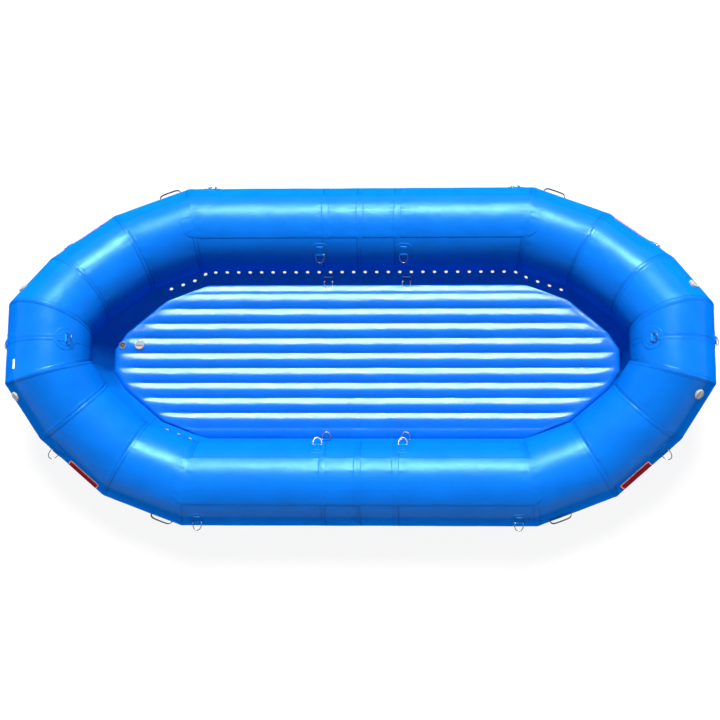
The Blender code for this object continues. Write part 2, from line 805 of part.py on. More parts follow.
def strip_solid(name, rows, inset, end_length=0.0, low_drop=0.0, high_drop=0.0):
    """A solid across the floor from rows of (y, low z, high z), ended at the inset outline.

    Its last stretch at each end can slope, so that the ribs' ends turn down.
    """
    points = []
    for y, low, high in rows:
        reach = half_length_at(y, inset)
        run = [(-reach, low_drop, high_drop), (reach, low_drop, high_drop)]
        if end_length:
            flat = reach - end_length
            run[1:1] = [(-flat, 0, 0), (flat, 0, 0)]
        points += [(FLOOR_SHIFT + x, y, low - drop) for x, drop, _ in run]
        points += [(FLOOR_SHIFT + x, y, high - drop) for x, _, drop in reversed(run)]
    count = len(points) // len(rows)
    faces = []
    for k in range(len(rows) - 1):
        faces += bridge(count, count * k, count * (k + 1))
    last = count * (len(rows) - 1)
    faces += [tuple(range(count)), tuple(range(last, last + count))]
    return new_object(name, mesh_from(name, points, faces))


def floor_rows(low_of, high_of):
    """Rows across the whole floor, also where the outline has a corner."""
    edges = rib_edges()
    corner_ys = [c.y for c in inset_corners(FLOOR_INSET)[1:]]
    extra = corner_ys + [-y for y in corner_ys]
    rows = []
    for low, high in zip(edges, edges[1:]):
        ys = rib_stations(low, high, STEPS_PER_RIB)
        ys += [y for y in extra if low < y < high and min(abs(y - s) for s in ys) > FLOOR_SKIN]
        for y in sorted(ys):
            if not rows or y > rows[-1][0] + FLOOR_SKIN / 4:
                rows.append((y, low_of(y, low, high), high_of(y, low, high)))
    return rows


def floor_top_z(y, low, high):
    return FLOOR_TOP - RIB_DEPTH + arch(y, low, high, RIB_DEPTH)


def floor_foot_z(y, low, high):
    base = FLOOR_TOP - FLOOR_THICKNESS
    return base + UNDER_RIB_DEPTH - arch(y, low, high, UNDER_RIB_DEPTH)


def floor_fitting_frame(from_end):
    """Where a floor valve's flange rests, on the crest of its rib, from the stern end of it."""
    y = RIB_PITCH * FLOOR_VALVE_RIB
    x = FLOOR_SHIFT - half_length_at(y, FLOOR_INSET) + from_end
    return Matrix.Translation((x, y, FLOOR_TOP + BOOT_RISE + FIT_CLEARANCE))


def add_boot(skin, frame, flange, barrel):
    """A flat boot for a flange, bonded on the rib, with the barrel's hole."""
    sides = VALVE_SIDES
    top = -FIT_CLEARANCE
    foot = top - BOOT_RISE - BOOT_DEPTH
    boot = cylinder("boot", flange + 2 * BOOT_MARGIN, foot, top, sides, frame)
    combine(skin, boot, "UNION", THIN_LAYER_SOLVER)
    hole_diameter = barrel + 2 * FIT_CLEARANCE
    hole = cylinder("hole", hole_diameter, foot - OVERRUN, OVERRUN, sides, frame)
    combine(skin, hole, "DIFFERENCE", THIN_LAYER_SOLVER)


def build_floor(materials):
    skin_rows = floor_rows(lambda *at: floor_top_z(*at) - FLOOR_SKIN, floor_top_z)
    slope = (RIB_END_LENGTH, RIB_END_DROP, RIB_END_DROP)
    skin = strip_solid("floor_top_skin", skin_rows, FLOOR_INSET, *slope)
    valve_frame = floor_fitting_frame(FLOOR_VALVE_FROM_END)
    relief_frame = floor_fitting_frame(FLOOR_RELIEF_FROM_END)
    add_boot(skin, valve_frame, FLANGE_DIAMETER, BARREL_DIAMETER)
    add_boot(skin, relief_frame, RELIEF_FLANGE_DIAMETER, RELIEF_BARREL_DIAMETER)
    finish(skin, materials["floor"], 40)
    build_valve("floor", valve_frame, materials)
    build_relief_valve(relief_frame, materials)

    def under_skin_z(y, low, high):
        return floor_top_z(y, low, high) - FLOOR_SKIN - FIT_CLEARANCE

    rows = floor_rows(floor_foot_z, under_skin_z)
    slope = (RIB_END_LENGTH, 0, RIB_END_DROP)
    tray = strip_solid("floor_beams", rows, FLOOR_INSET, *slope)
    edges = rib_edges()
    for low, high in zip(edges, edges[1:]):
        web = FLOOR_SKIN / 2
        cell_low = low + (FLOOR_SKIN if low == edges[0] else web)
        cell_high = high - (FLOOR_SKIN if high == edges[-1] else web)
        corner_ys = [c.y for c in inset_corners(FLOOR_INSET + FLOOR_SKIN)[1:]]
        extra = [y for c in corner_ys for y in (c, -c) if cell_low + web < y < cell_high - web]
        ys = sorted(rib_stations(cell_low, cell_high, STEPS_PER_RIB) + extra)
        rows = [(y, floor_foot_z(y, low, high) + FLOOR_SKIN, FLOOR_TOP + OVERRUN) for y in ys]
        combine(tray, strip_solid("cell", rows, FLOOR_INSET + FLOOR_SKIN), "DIFFERENCE")
    for from_end in (FLOOR_VALVE_FROM_END, FLOOR_RELIEF_FROM_END):
        clear_boot_from(tray, floor_fitting_frame(from_end))
    finish(tray, materials["floor"], 40)


def clear_boot_from(tray, frame):
    """Cut the beams' tops back where the boot reaches down between them."""
    wide = FLANGE_DIAMETER + 2 * BOOT_MARGIN + 2 * FIT_CLEARANCE
    foot = -BOOT_RISE - BOOT_DEPTH - 3 * FIT_CLEARANCE
    combine(tray, cylinder("room", wide, foot, OVERRUN, VALVE_SIDES, frame), "DIFFERENCE")


# Bailing skirt

def skirt_tube_points(panels):
    """The skirt's edge on the tube, one point at each mitre, in travelling order."""
    clock = math.radians(SKIRT_TUBE_CLOCK_DEG)
    ordered = list(panels.values())
    points = []
    for before, after in zip(ordered[-1:] + ordered[:-1], ordered):
        gap = FIT_CLEARANCE if "side_tube" in before.name + after.name else SKIRT_BEND_GAP
        reach = TUBE_RADIUS * CORNER_RADIUS_SHARE + gap
        both = []
        for panel in (before, after):
            offset = reach * panel.direction(clock)
            slide = -offset.dot(after.start_plane) / panel.along.dot(after.start_plane)
            both.append(after.start + offset + slide * panel.along)
        points.append((both[0] + both[1]) / 2)
    return points


def skirt_floor_points():
    """The skirt's edge on the floor's wall, in the same order."""
    corners = inset_corners(FLOOR_INSET - FIT_CLEARANCE)
    shift = Vector((FLOOR_SHIFT, 0, 0))
    points = []
    for name, order in (
        ("bow_port", range(4)),
        ("bow_starboard", range(3, -1, -1)),
        ("stern_starboard", range(4)),
        ("stern_port", range(3, -1, -1)),
    ):
        for k in order:
            flat = Vector((corners[k].x, corners[k].y, SKIRT_FLOOR_Z))
            points.append(mirrored(flat, QUARTERS[name]) + shift)
    return points


def skirt_slope(name, panels, outer, inner):
    """Direction of one of the skirt's edges on the tube, and the way square to it down to the
    floor's edge."""
    k = list(panels).index(name)
    after = (k + 1) % len(outer)
    along = (outer[after] - outer[k]).normalized()
    down = (inner[k] + inner[after] - outer[k] - outer[after]) / 2
    return along, down - down.dot(along) * along


def skirt_frame(name, panels, outer, inner, x):
    """Frame on one of the skirt's strips: its origin is on the tube edge at a world x, its x
    runs along the edge, its y up the slope and its z out of the upper side."""
    k = list(panels).index(name)
    start, end = outer[k], outer[(k + 1) % len(outer)]
    along, down = skirt_slope(name, panels, outer, inner)
    up_slope = -down.normalized()
    origin = start + (x - start.x) / (end.x - start.x) * (end - start)
    return frame_of(along, up_slope, along.cross(up_slope), origin)


def strip_at(panels, outer, side, x):
    """The side or first-bend strip that a world x falls on."""
    ordered = list(panels)
    for name in (f"side_tube_{side}", f"bend_a_bow_{side}", f"bend_a_stern_{side}"):
        k = ordered.index(name)
        ends = sorted((outer[k].x, outer[(k + 1) % len(outer)].x))
        if ends[0] <= x <= ends[1]:
            break
    return name


def skirt_solid(panels, outer, inner):
    """A sheet from the tube edge, its under side on it, to the floor edge, its upper side on it.

    Each strip is split into two triangles, both sides along the same diagonal, so that the sheet
    keeps its thickness. The port strips mirror the starboard ones.
    """
    count = len(outer)
    is_port = [name.endswith("port") for name in panels]
    faces = []
    upper, under = [], []
    for k in range(count):
        along = outer[(k + 1) % count] - outer[k - 1]
        normal = along.cross(outer[k] - inner[k]).normalized()
        upper.append(outer[k] + SKIRT_THICKNESS * normal)
        under.append(inner[k] - SKIRT_THICKNESS * normal)
    rings = [outer, upper, inner, under]
    points = [point for ring in rings for point in ring]
    for k in range(len(rings)):
        first, second = k * count, (k + 1) % len(rings) * count
        for mirrored_strip, (a, b, c, d) in zip(is_port, bridge(count, first, second)):
            rising = mirrored_strip != (rings[k] is under)
            faces += [(a, b, d), (b, c, d)] if rising else [(a, b, c), (a, c, d)]
    return new_object("bailing_skirt", mesh_from("bailing_skirt", points, faces))


def build_skirt(panels, materials):
    outer = skirt_tube_points(panels)
    inner = skirt_floor_points()
    skirt = skirt_solid(panels, outer, inner)
    gaps = round((SIDE_LENGTH + 2 * HOLE_ROW_PAST_SIDE) / HOLE_PITCH)
    places = []
    for side in ("port", "starboard"):
        for k in range(gaps + 1):
            x = HOLE_ROW_CENTRE_X + (k - gaps / 2) * HOLE_PITCH
            name = strip_at(panels, outer, side, x)
            drop = HOLE_DROP if name.startswith("side") else BEND_HOLE_DROP
            frame = skirt_frame(name, panels, outer, inner, x)
            places.append(frame @ Matrix.Translation((0, -drop, 0)))
    hole = round_outline(HOLE_DIAMETER, HOLE_SIDES)
    punches = prisms("holes", hole, -OVERRUN, OVERRUN, places)
    combine(skirt, punches, "DIFFERENCE", THIN_LAYER_SOLVER)
    add_floor_rings(skirt, panels, outer, inner, materials)
    finish(skirt, materials["skirt"], 40)


def add_floor_rings(skirt, panels, outer, inner, materials):
    """Four rings on the skirt, two a side, that lie over the floor's edge."""
    lift = math.radians(FLOOR_RING_LIFT_DEG)
    for quarter, (ahead, facing) in QUARTERS.items():
        name = f"side_tube_{quarter.split('_')[1]}"
        x = FLOOR_RING_CENTRE_X + ahead * FLOOR_RING_PITCH / 2
        down = skirt_slope(name, panels, outer, inner)[1]
        drop = down.length - FLOOR_RING_ABOVE_EDGE
        at = skirt_frame(name, panels, outer, inner, x)
        at = at @ Matrix.Translation((0, -drop, 0))
        half = FLOOR_PAD_WIDTH / 2
        corners = ((-half, -FLOOR_PAD_BELOW_BAR), (half, FLOOR_PAD_ABOVE_BAR))
        (left, low), (right, high) = corners
        outline = [(left, low), (right, low), (right, high), (left, high)]
        pad = prism("pad", outline, 0, FLOOR_PAD_RISE, at)
        combine(skirt, pad, "UNION", THIN_LAYER_SOLVER)
        bar_frame = at @ Matrix.Translation((0, 0, FLOOR_PAD_RISE + strap_radius() - BOND_OVERLAP))
        add_strap_loop(skirt, bar_frame)
        inboard = Vector((0, -facing * math.cos(lift), math.sin(lift)))
        along = Vector((facing, 0, 0))
        build_ring(f"ring_floor_{quarter}", bar_frame.translation, inboard, along, materials["steel"])


def clear_scene():
    for thing in list(bpy.data.objects):
        bpy.data.objects.remove(thing)


def main():
    clear_scene()
    materials = build_materials()
    panels = build_panels()
    tubes = {name: tube_solid(name, panel) for name, panel in panels.items()}
    for side in ("port", "starboard"):
        name = f"side_tube_{side}"
        add_rub_pad(tubes[name], panels[name])
    add_tube_rings(panels, tubes, materials["steel"])
    add_tube_valves(panels, tubes, materials)
    for tube in tubes.values():
        finish(tube, materials["tube"], 20)
    add_handles(panels, materials["webbing"])
    build_floor(materials)
    build_skirt(panels, materials)
    return panels


main()
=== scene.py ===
# %% [markdown]
# # A self-bailing whitewater raft
#
# The real raft is a ring of inflated fabric cells, glued end to end and bent up at the bow and
# the stern. A ribbed air floor hangs inside the ring on a skirt with bailing holes. This lesson
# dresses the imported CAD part, piece by piece, in the same metres and on the same axes: +X is the
# bow, +Y is port, +Z is up, and the ground is at zero.

import json
import math

import bmesh
import bpy
import numpy as np
from mathutils import Matrix, Vector

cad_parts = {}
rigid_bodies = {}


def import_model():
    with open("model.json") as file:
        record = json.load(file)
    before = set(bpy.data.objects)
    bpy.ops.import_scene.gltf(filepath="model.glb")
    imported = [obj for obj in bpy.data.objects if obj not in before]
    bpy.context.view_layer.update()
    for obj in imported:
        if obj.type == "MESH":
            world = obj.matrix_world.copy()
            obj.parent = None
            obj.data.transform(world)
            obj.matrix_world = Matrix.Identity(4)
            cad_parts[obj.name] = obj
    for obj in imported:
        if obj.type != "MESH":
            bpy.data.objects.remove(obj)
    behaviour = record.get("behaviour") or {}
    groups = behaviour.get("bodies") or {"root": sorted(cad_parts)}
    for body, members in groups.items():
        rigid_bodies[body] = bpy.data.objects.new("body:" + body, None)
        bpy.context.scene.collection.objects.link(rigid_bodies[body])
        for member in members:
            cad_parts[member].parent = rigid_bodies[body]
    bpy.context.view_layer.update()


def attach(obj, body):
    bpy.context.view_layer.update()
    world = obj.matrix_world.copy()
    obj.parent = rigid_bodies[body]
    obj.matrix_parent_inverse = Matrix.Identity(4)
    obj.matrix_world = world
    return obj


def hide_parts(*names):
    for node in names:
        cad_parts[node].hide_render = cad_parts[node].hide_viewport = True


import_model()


def place_object(name, data):
    """A new object in the scene."""
    new = bpy.data.objects.new(name, data)
    bpy.context.scene.collection.objects.link(new)
    return new

# %% [markdown]
# ## Camera
#
# The photograph looks down on the raft from high above its starboard side, through a long lens.
# The view could be framed by eye, but the raft's corners give it exactly: a camera that is
# aimed at one point, at a distance, an azimuth, an elevation and a roll, was fitted to them.

# %% Camera
AIM = Vector((0.0023, -0.0456, 0.30))
DISTANCE = 11.992
FOCAL_LENGTH_MM = 98.01
AZIMUTH_DEG = 11.744
ELEVATION_DEG = 76.572
ROLL_DEG = -11.493

azimuth, elevation, roll = (math.radians(d) for d in (AZIMUTH_DEG, ELEVATION_DEG, ROLL_DEG))
back = Vector((
    math.sin(azimuth) * math.cos(elevation),
    -math.cos(azimuth) * math.cos(elevation),
    math.sin(elevation),
))
level_right = (-back).cross(Vector((0, 0, 1))).normalized()
level_up = level_right.cross(-back)
right = math.cos(roll) * level_right + math.sin(roll) * level_up
up = -math.sin(roll) * level_right + math.cos(roll) * level_up

camera = place_object("camera", bpy.data.cameras.new("camera"))
camera.data.lens = FOCAL_LENGTH_MM
camera.data.sensor_width = 36
turn = Matrix((right, up, back)).transposed().to_4x4()
camera.matrix_world = Matrix.Translation(AIM + DISTANCE * back) @ turn
bpy.context.scene.camera = camera
bpy.context.scene.view_settings.view_transform = "Standard"
print("camera at", [round(x, 3) for x in camera.matrix_world.translation])

# %% [markdown]
# ## Node helpers
#
# Every finish here is built from nodes, so short helpers keep the recipes readable. Sockets
# are filled by name: a plain value is set, and another node's output is joined. The rest are
# the steps that come back in every recipe: arithmetic, a change of range, noise, a ramp
# between two colours, a bump and a weave.

# %% Node helpers
def plug(node, inputs):
    """Fill input sockets, by name or number, with values, or join output sockets to them."""
    for key, value in inputs.items():
        if isinstance(value, bpy.types.NodeSocket):
            node.id_data.links.new(value, node.inputs[key])
        else:
            node.inputs[key].default_value = value


def add_node(tree, kind, inputs=None, **settings):
    """A node with its properties set and its input sockets filled."""
    node = tree.nodes.new(kind)
    for key, value in settings.items():
        setattr(node, key, value)
    plug(node, inputs or {})
    return node


def feed(tree, kind, inputs=None, socket=0, **settings):
    """The same, but what comes back is one of the node's output sockets."""
    return add_node(tree, kind, inputs, **settings).outputs[socket]


def calc(tree, operation, *values, **settings):
    """The result of one step of arithmetic on values and sockets."""
    return feed(tree, "ShaderNodeMath", dict(enumerate(values)), operation=operation, **settings)


def span(tree, value, to_low, to_high, from_low=0.0, from_high=1.0, **settings):
    """A value taken from one range to another."""
    return feed(tree, "ShaderNodeMapRange", {
        "Value": value, "From Min": from_low, "From Max": from_high, "To Min": to_low,
        "To Max": to_high,
    }, "Result", **settings)


def noise(tree, point, scale, detail):
    return feed(tree, "ShaderNodeTexNoise", {"Vector": point, "Scale": scale, "Detail": detail})


def ramp(tree, value, low, high, low_at=0.0, high_at=1.0):
    """A colour between two, by a value."""
    node = add_node(tree, "ShaderNodeValToRGB", {0: value})
    for stop, place, colour in zip(node.color_ramp.elements, (low_at, high_at), (low, high)):
        stop.position, stop.color = place, (*colour, 1)
    return node.outputs[0]


def mixed(tree, share, first, second):
    """A colour between two, of which the second is a plain one."""
    return feed(tree, "ShaderNodeMix", {"Factor": share, "A": first, "B": (*second, 1)},
                "Result", data_type="RGBA")


def bump(tree, height, distance, strength=1.0, normal=None):
    inputs = {"Strength": strength, "Distance": distance, "Height": height}
    if normal is not None:
        inputs["Normal"] = normal
    return feed(tree, "ShaderNodeBump", inputs)


def threads(tree, place, scales, distortion):
    """The height of a weave: two crossed sets of waves on the piece's own map."""
    sets = [feed(tree, "ShaderNodeTexWave", {"Vector": place.outputs["UV"], "Scale": scale,
                                             "Distortion": distortion}, 1, bands_direction=axis)
            for axis, scale in zip("XY", scales)]
    return calc(tree, "MULTIPLY", *sets)


def scaled(colour, factor, lift=0.0):
    return [min(c * factor + lift, 1) for c in colour]


def new_material(name, colour, roughness, metallic=0.0):
    material = bpy.data.materials.new(name)
    material.use_nodes = True
    material.diffuse_color = (*colour, 1)
    shader = material.node_tree.nodes["Principled BSDF"]
    plug(shader, {"Base Color": (*colour, 1), "Roughness": roughness, "Metallic": metallic})
    return material, material.node_tree, shader

# %% [markdown]
# ## Light and ground
#
# In the photograph each tube is bright on its far side and dark on its near side, as under one
# wide light from over there, and carries a narrow pale band of sheen. Yet the far tube throws no
# shadow on the floor, and the floor's ribs are pale over almost half their width. So there are
# four lamps, all over the port side: a key and a sheen lamp for everything but the floor, and
# another pair for the floor, whose sheen lamp is wide. The sheen lamps show in reflections
# alone. An open sky fills the shade. The world is pale at the horizon, like the
# sweep of a studio, so other views have a pale background too. The ground is a pale plane. What
# the camera sees of it is mostly plain white, mixed with a little of its real shading, so that
# it keeps a faint shadow.

# %% Lamps
KEY = {"elevation_deg": 53.0, "angle_deg": 24.0, "strength": 9.0}
FLOOR_KEY = {"elevation_deg": 62.0, "angle_deg": 14.0, "strength": 6.4}
SHEEN = {"elevation_deg": 50.0, "angle_deg": 10.0, "strength": 11.0}
FLOOR_SHEEN = {"elevation_deg": 36.0, "angle_deg": 56.0, "strength": 17.0}


def far_sun(name, elevation_deg, angle_deg, strength):
    """A sun over the port side, at an elevation and with an apparent width."""
    lamp = place_object(name, bpy.data.lights.new(name, "SUN"))
    lamp.data.energy = strength
    lamp.data.angle = math.radians(angle_deg)
    height = math.radians(elevation_deg)
    towards = Vector((0, math.cos(height), math.sin(height)))
    lamp.rotation_euler = towards.to_track_quat("Z", "Y").to_euler()
    return lamp


def light_group(lamp, name):
    """The collection of what a lamp lights, or leaves dark."""
    group = bpy.data.collections.new(name)
    lamp.light_linking.receiver_collection = group
    return group


key = far_sun("key", **KEY)
floor_key = far_sun("floor_key", **FLOOR_KEY)
key.visible_glossy = floor_key.visible_glossy = False
sheen, floor_sheen = far_sun("sheen", **SHEEN), far_sun("floor_sheen", **FLOOR_SHEEN)
for lamp in (sheen, floor_sheen):
    lamp.visible_diffuse = False
    lamp.data.cycles.use_multiple_importance_sampling = False
for lamp in (sheen, floor_sheen, floor_key):
    lamp.data.use_shadow = False
without_floor = [light_group(lamp, f"{lamp.name}_without_floor") for lamp in (key, sheen)]
only_floor = [light_group(lamp, f"{lamp.name}_only") for lamp in (floor_key, floor_sheen)]


def light_as_floor(piece):
    """Take a piece out of the key's light and sheen, and into the floor's."""
    for group in without_floor + only_floor:
        group.objects.link(piece)
    for group in without_floor:
        group.collection_objects[-1].light_linking.link_state = "EXCLUDE"


print("key at", KEY["elevation_deg"], "degrees and sheen at", SHEEN["elevation_deg"])

# %% Sky and ground
SKY_STRENGTH = 0.26
HORIZON_STRENGTH = 0.80
HORIZON_HEIGHTS = (0.03, 0.30)
GROUND_SIZE = 120.0
GROUND_Z = -0.002
GROUND_WHITENESS = 0.90

world = bpy.data.worlds.new("studio")
bpy.context.scene.world = world
world.use_nodes = True
sky = world.node_tree
direction = feed(sky, "ShaderNodeTexCoord", socket="Generated")
upward = feed(sky, "ShaderNodeSeparateXYZ", {0: direction}, "Z")
plug(sky.nodes["Background"], {
    "Color": (0.97, 0.985, 1.0, 1),
    "Strength": span(sky, upward, HORIZON_STRENGTH, SKY_STRENGTH, *HORIZON_HEIGHTS,
                     interpolation_type="SMOOTHSTEP"),
})

half = GROUND_SIZE / 2
ground_mesh = bpy.data.meshes.new("ground")
ground_mesh.from_pydata(
    [(-half, -half, 0), (half, -half, 0), (half, half, 0), (-half, half, 0)], [], [(0, 1, 2, 3)]
)
ground = place_object("ground", ground_mesh)
ground.location.z = GROUND_Z
ground_finish, tree, shader = new_material("pale_ground", (0.86, 0.86, 0.86), 0.9)
plug(shader, {"Specular IOR Level": 0.0})
rays = add_node(tree, "ShaderNodeLightPath").outputs
seen = calc(tree, "ADD", rays["Is Camera Ray"], rays["Is Glossy Ray"], use_clamp=True)
seen = calc(tree, "ADD", seen, rays["Is Transmission Ray"], use_clamp=True)
white = feed(tree, "ShaderNodeEmission", {"Color": (1, 1, 1, 1), "Strength": 1.0})
blend = feed(tree, "ShaderNodeMixShader", {
    0: calc(tree, "MULTIPLY", seen, GROUND_WHITENESS), 1: shader.outputs[0], 2: white,
})
plug(tree.nodes["Material Output"], {"Surface": blend})
ground_mesh.materials.append(ground_finish)
print("ground", GROUND_SIZE, "m wide")

# %% [markdown]
# ## Coated fabric
#
# Raft fabric is a woven cloth under a smooth coat of coloured plastic. The coat is an even,
# saturated blue with a soft sheen, and the weave only shows as a faint grain. Slow swells in
# the skin break the sheen into soft blotches. An image could hold that, but noise at three
# sizes does it at any distance: a slow one for the colour, a middle one for the swells and a
# fine weave made of two crossed waves. The pattern follows the piece's own map, whose unit is
# the metre, so the threads run along the tube and round it. Seen edge on, the weave scatters
# what a smooth coat would mirror, so the gloss fades out towards the outline.

# %% Coated fabric
SHEEN_TINT = (0.30, 0.75, 1.0)
SOFT_EDGE = (0.20, 0.42)
LINE_COLOUR = (0.0, 0.004, 0.03)


def fade_gloss(tree, shader, gloss):
    """Gloss that fades out where the surface is seen edge on."""
    turned = feed(tree, "ShaderNodeLayerWeight", {"Blend": 0.5}, "Facing")
    plug(shader, {"Specular IOR Level": span(tree, turned, gloss, 0.0, *SOFT_EDGE)})


def edge_lines(tree, place, tone, strength):
    """The tone, made darker along both edges of a 60 mm wide map."""
    across = feed(tree, "ShaderNodeSeparateXYZ", {0: place.outputs["UV"]}, "X")
    away = calc(tree, "ABSOLUTE", calc(tree, "SUBTRACT", across, 0.030))
    return mixed(tree, span(tree, away, 0.0, strength, 0.0150, 0.0165), tone, LINE_COLOUR)


def fabric(name, colour, roughness, weave=0.00012, swell=0.0010, swell_size=0.09, creases=0.0,
           gloss=0.25, sheen_tint=SHEEN_TINT, edge_line=0.0):
    """A coated cloth: woven grain, slow swells, and if asked for sharp little creases or a
    darker line along both edges of a 60 mm wide map."""
    material, tree, shader = new_material(name, colour, roughness)
    fade_gloss(tree, shader, gloss)
    place = add_node(tree, "ShaderNodeTexCoord")
    point = place.outputs["Object"]
    tone = ramp(tree, noise(tree, point, 7.0, 4.0), scaled(colour, 0.93), scaled(colour, 1.05),
                0.30, 0.70)
    if edge_line:
        tone = edge_lines(tree, place, tone, edge_line)
    dull = span(tree, noise(tree, point, 22.0, 5.0), roughness - 0.06, roughness + 0.06)
    normal = bump(tree, noise(tree, point, 1 / swell_size, 3.0), swell)
    if creases:
        folds = feed(tree, "ShaderNodeTexNoise", {
            "Vector": point, "Scale": 26.0, "Detail": 6.0, "Roughness": 0.62, "Distortion": 1.1,
        }, noise_type="RIDGED_MULTIFRACTAL")
        normal = bump(tree, folds, creases, normal=normal)
    normal = bump(tree, threads(tree, place, (110.0, 110.0), 0.3), weave, 0.5, normal)
    plug(shader, {"Base Color": tone, "Roughness": dull, "Specular Tint": (*sheen_tint, 1),
                  "Normal": normal})
    return material


BLUE = (0.001, 0.106, 0.48)
tube_fabric = fabric("tube_fabric", BLUE, 0.36, swell=0.0014)
tape_fabric = fabric("tape_fabric", (0.001, 0.099, 0.46), 0.36, swell=0.0006, swell_size=0.03,
                     edge_line=0.20)
pad_fabric = fabric("pad_fabric", (0.001, 0.103, 0.47), 0.36, weave=0.0002, swell=0.0018,
                    swell_size=0.07)
patch_fabric = fabric("patch_fabric", (0.001, 0.102, 0.46), 0.36, swell=0.0004)
floor_fabric = fabric("floor_fabric", (0.001, 0.105, 0.50), 0.22, swell=0.0008, swell_size=0.05,
                      creases=0.0006, gloss=0.5, sheen_tint=(0.60, 0.92, 1.0))
skirt_fabric = fabric("skirt_fabric", (0.001, 0.100, 0.42), 0.36, swell=0.0016, swell_size=0.05,
                      creases=0.0008)
# A paler copy of the blue for the webbing loops at the rings: painted highlight, standing in for
# the light that catches their upward turn.
painted_lit_loop_fabric = fabric("painted_lit_loop_fabric", (0.001, 0.150, 0.62), 0.42, weave=0.0003, swell=0.0003)
print("fabrics made, colour", BLUE)

# %% [markdown]
# ## The cells of the tube
#
# Each quarter of the ring is a side, three bends that rise one after the other, and half of the
# end. Every cell is a straight cylinder that is cut at both ends on the plane halfway between
# it and its neighbour, as a stovepipe elbow is. A class holds one cell's axis and end planes,
# and gives any point of its skin from a distance along it, an angle from its top towards
# outboard, and a height off the skin.

# %% The cells of the tube
TUBE_RADIUS = 0.254
SIDE_LENGTH = 2.062
END_LENGTH = 0.324
BENDS = ((0.418, 0.008, 20.8), (0.432, 0.103, 40.6), (0.281, 0.104, 57.2))
SEAMS_X = (-0.21, 0.0, 0.23)
SWELL, SWELL_RUN = 0.0012, 0.055
SLOW_SWELLS = ((0.0007, 0.33, 5), (0.0003, 0.13, 6))
PUCKER, PUCKER_FROM_SEAM, PUCKER_RUN = 0.0016, 0.028, 0.026
PUCKERS_ROUND = (17, 23, 31, 41, 53)
TAPED = 0.02
WAVE_COUNT = 10
WAVE_RATES = (0.7, 1.4)
WAVE_REACH = 1.4
TURN = 6.283
QUARTERS = {
    "bow_port": (1, 1),
    "bow_starboard": (1, -1),
    "stern_port": (-1, 1),
    "stern_starboard": (-1, -1),
}


def quarter_corners():
    """The bow-port quarter's corners on the tube's middle line, from the side to the end."""
    runs = [math.sqrt(length**2 - rise**2) for length, rise, _ in BENDS]
    yaws = [math.radians(yaw) for _, _, yaw in BENDS]
    half_width = END_LENGTH / 2 + sum(run * math.sin(yaw) for run, yaw in zip(runs, yaws))
    corners = [np.array((SIDE_LENGTH / 2, half_width, TUBE_RADIUS))]
    for run, yaw, (_, rise, _) in zip(runs, yaws, BENDS):
        step = np.array((run * math.cos(yaw), -run * math.sin(yaw), rise))
        corners.append(corners[-1] + step)
    return corners


def unit(vector):
    return vector / np.linalg.norm(vector)


def waves(points, wavelength, seed):
    """A smooth random height between about -1 and 1: a sum of waves in seeded directions."""
    dice = np.random.default_rng(seed)
    total = np.zeros(points.shape[:-1])
    for _ in range(WAVE_COUNT):
        heading = unit(dice.normal(size=3)) * dice.uniform(*WAVE_RATES)
        total += np.sin(points @ heading * 2 * math.pi / wavelength + dice.uniform(0, TURN))
    return total / math.sqrt(WAVE_COUNT) / WAVE_REACH


class Cell:
    """One straight cell of the tube, travelled with the outboard side on the left."""

    def __init__(self, name, start, end, number):
        self.name, self.start, self.end, self.number = name, start, end, number
        self.length = np.linalg.norm(end - start)
        self.along = unit(end - start)
        self.out = unit(np.cross((0, 0, 1), self.along))
        self.top = np.cross(self.along, self.out)

    def away(self, clock):
        """Unit vectors off the axis, at angles from the top towards outboard."""
        clock = np.asarray(clock)[..., None]
        return np.cos(clock) * self.top + np.sin(clock) * self.out

    def limits(self, clock, height=0.0):
        """How far along the cell its two end planes cut the skin, at each angle."""
        offset = (TUBE_RADIUS + height) * self.away(clock)
        first = -(offset @ self.start_plane) / (self.along @ self.start_plane)
        last = self.length - (offset @ self.end_plane) / (self.along @ self.end_plane)
        return first, last

    def between(self, clock, share, height=0.0):
        """How far along the cell a share of the way from one end plane to the other is."""
        first, last = self.limits(clock, height)
        return first + share * (last - first)

    def point(self, place, clock, height=0.0):
        """Points on the skin, with its swells and puckers, raised by a height."""
        place, clock = np.broadcast_arrays(place, clock)
        reach = TUBE_RADIUS + height + self.relief(place, clock)
        return self.start + place[..., None] * self.along + reach[..., None] * self.away(clock)

    def relief(self, place, clock):
        """The skin's height over the plain cylinder: fuller between seams, puckered at them."""
        first, last = self.limits(clock)
        gaps = [place - first, last - place]
        gaps += [np.abs(place - seam) for seam in self.seams]
        gap = np.clip(np.min(gaps, axis=0), 0, None)
        swell = SWELL * (1 - np.exp(-((gap / SWELL_RUN) ** 2)))
        flat = self.start + place[..., None] * self.along + TUBE_RADIUS * self.away(clock)
        slow = sum(height * waves(flat, size, seed) for height, size, seed in SLOW_SWELLS)
        turns = np.zeros_like(clock)
        dice = np.random.default_rng(self.number)
        for rate in PUCKERS_ROUND:
            turns = turns + np.sin(rate * clock + dice.uniform(0, TURN)) / rate**0.5
        pucker = PUCKER * turns * np.exp(-np.abs(gap - PUCKER_FROM_SEAM) / PUCKER_RUN)
        fade = np.clip(gap / TAPED, 0, 1)
        return swell + fade * (slow + pucker)


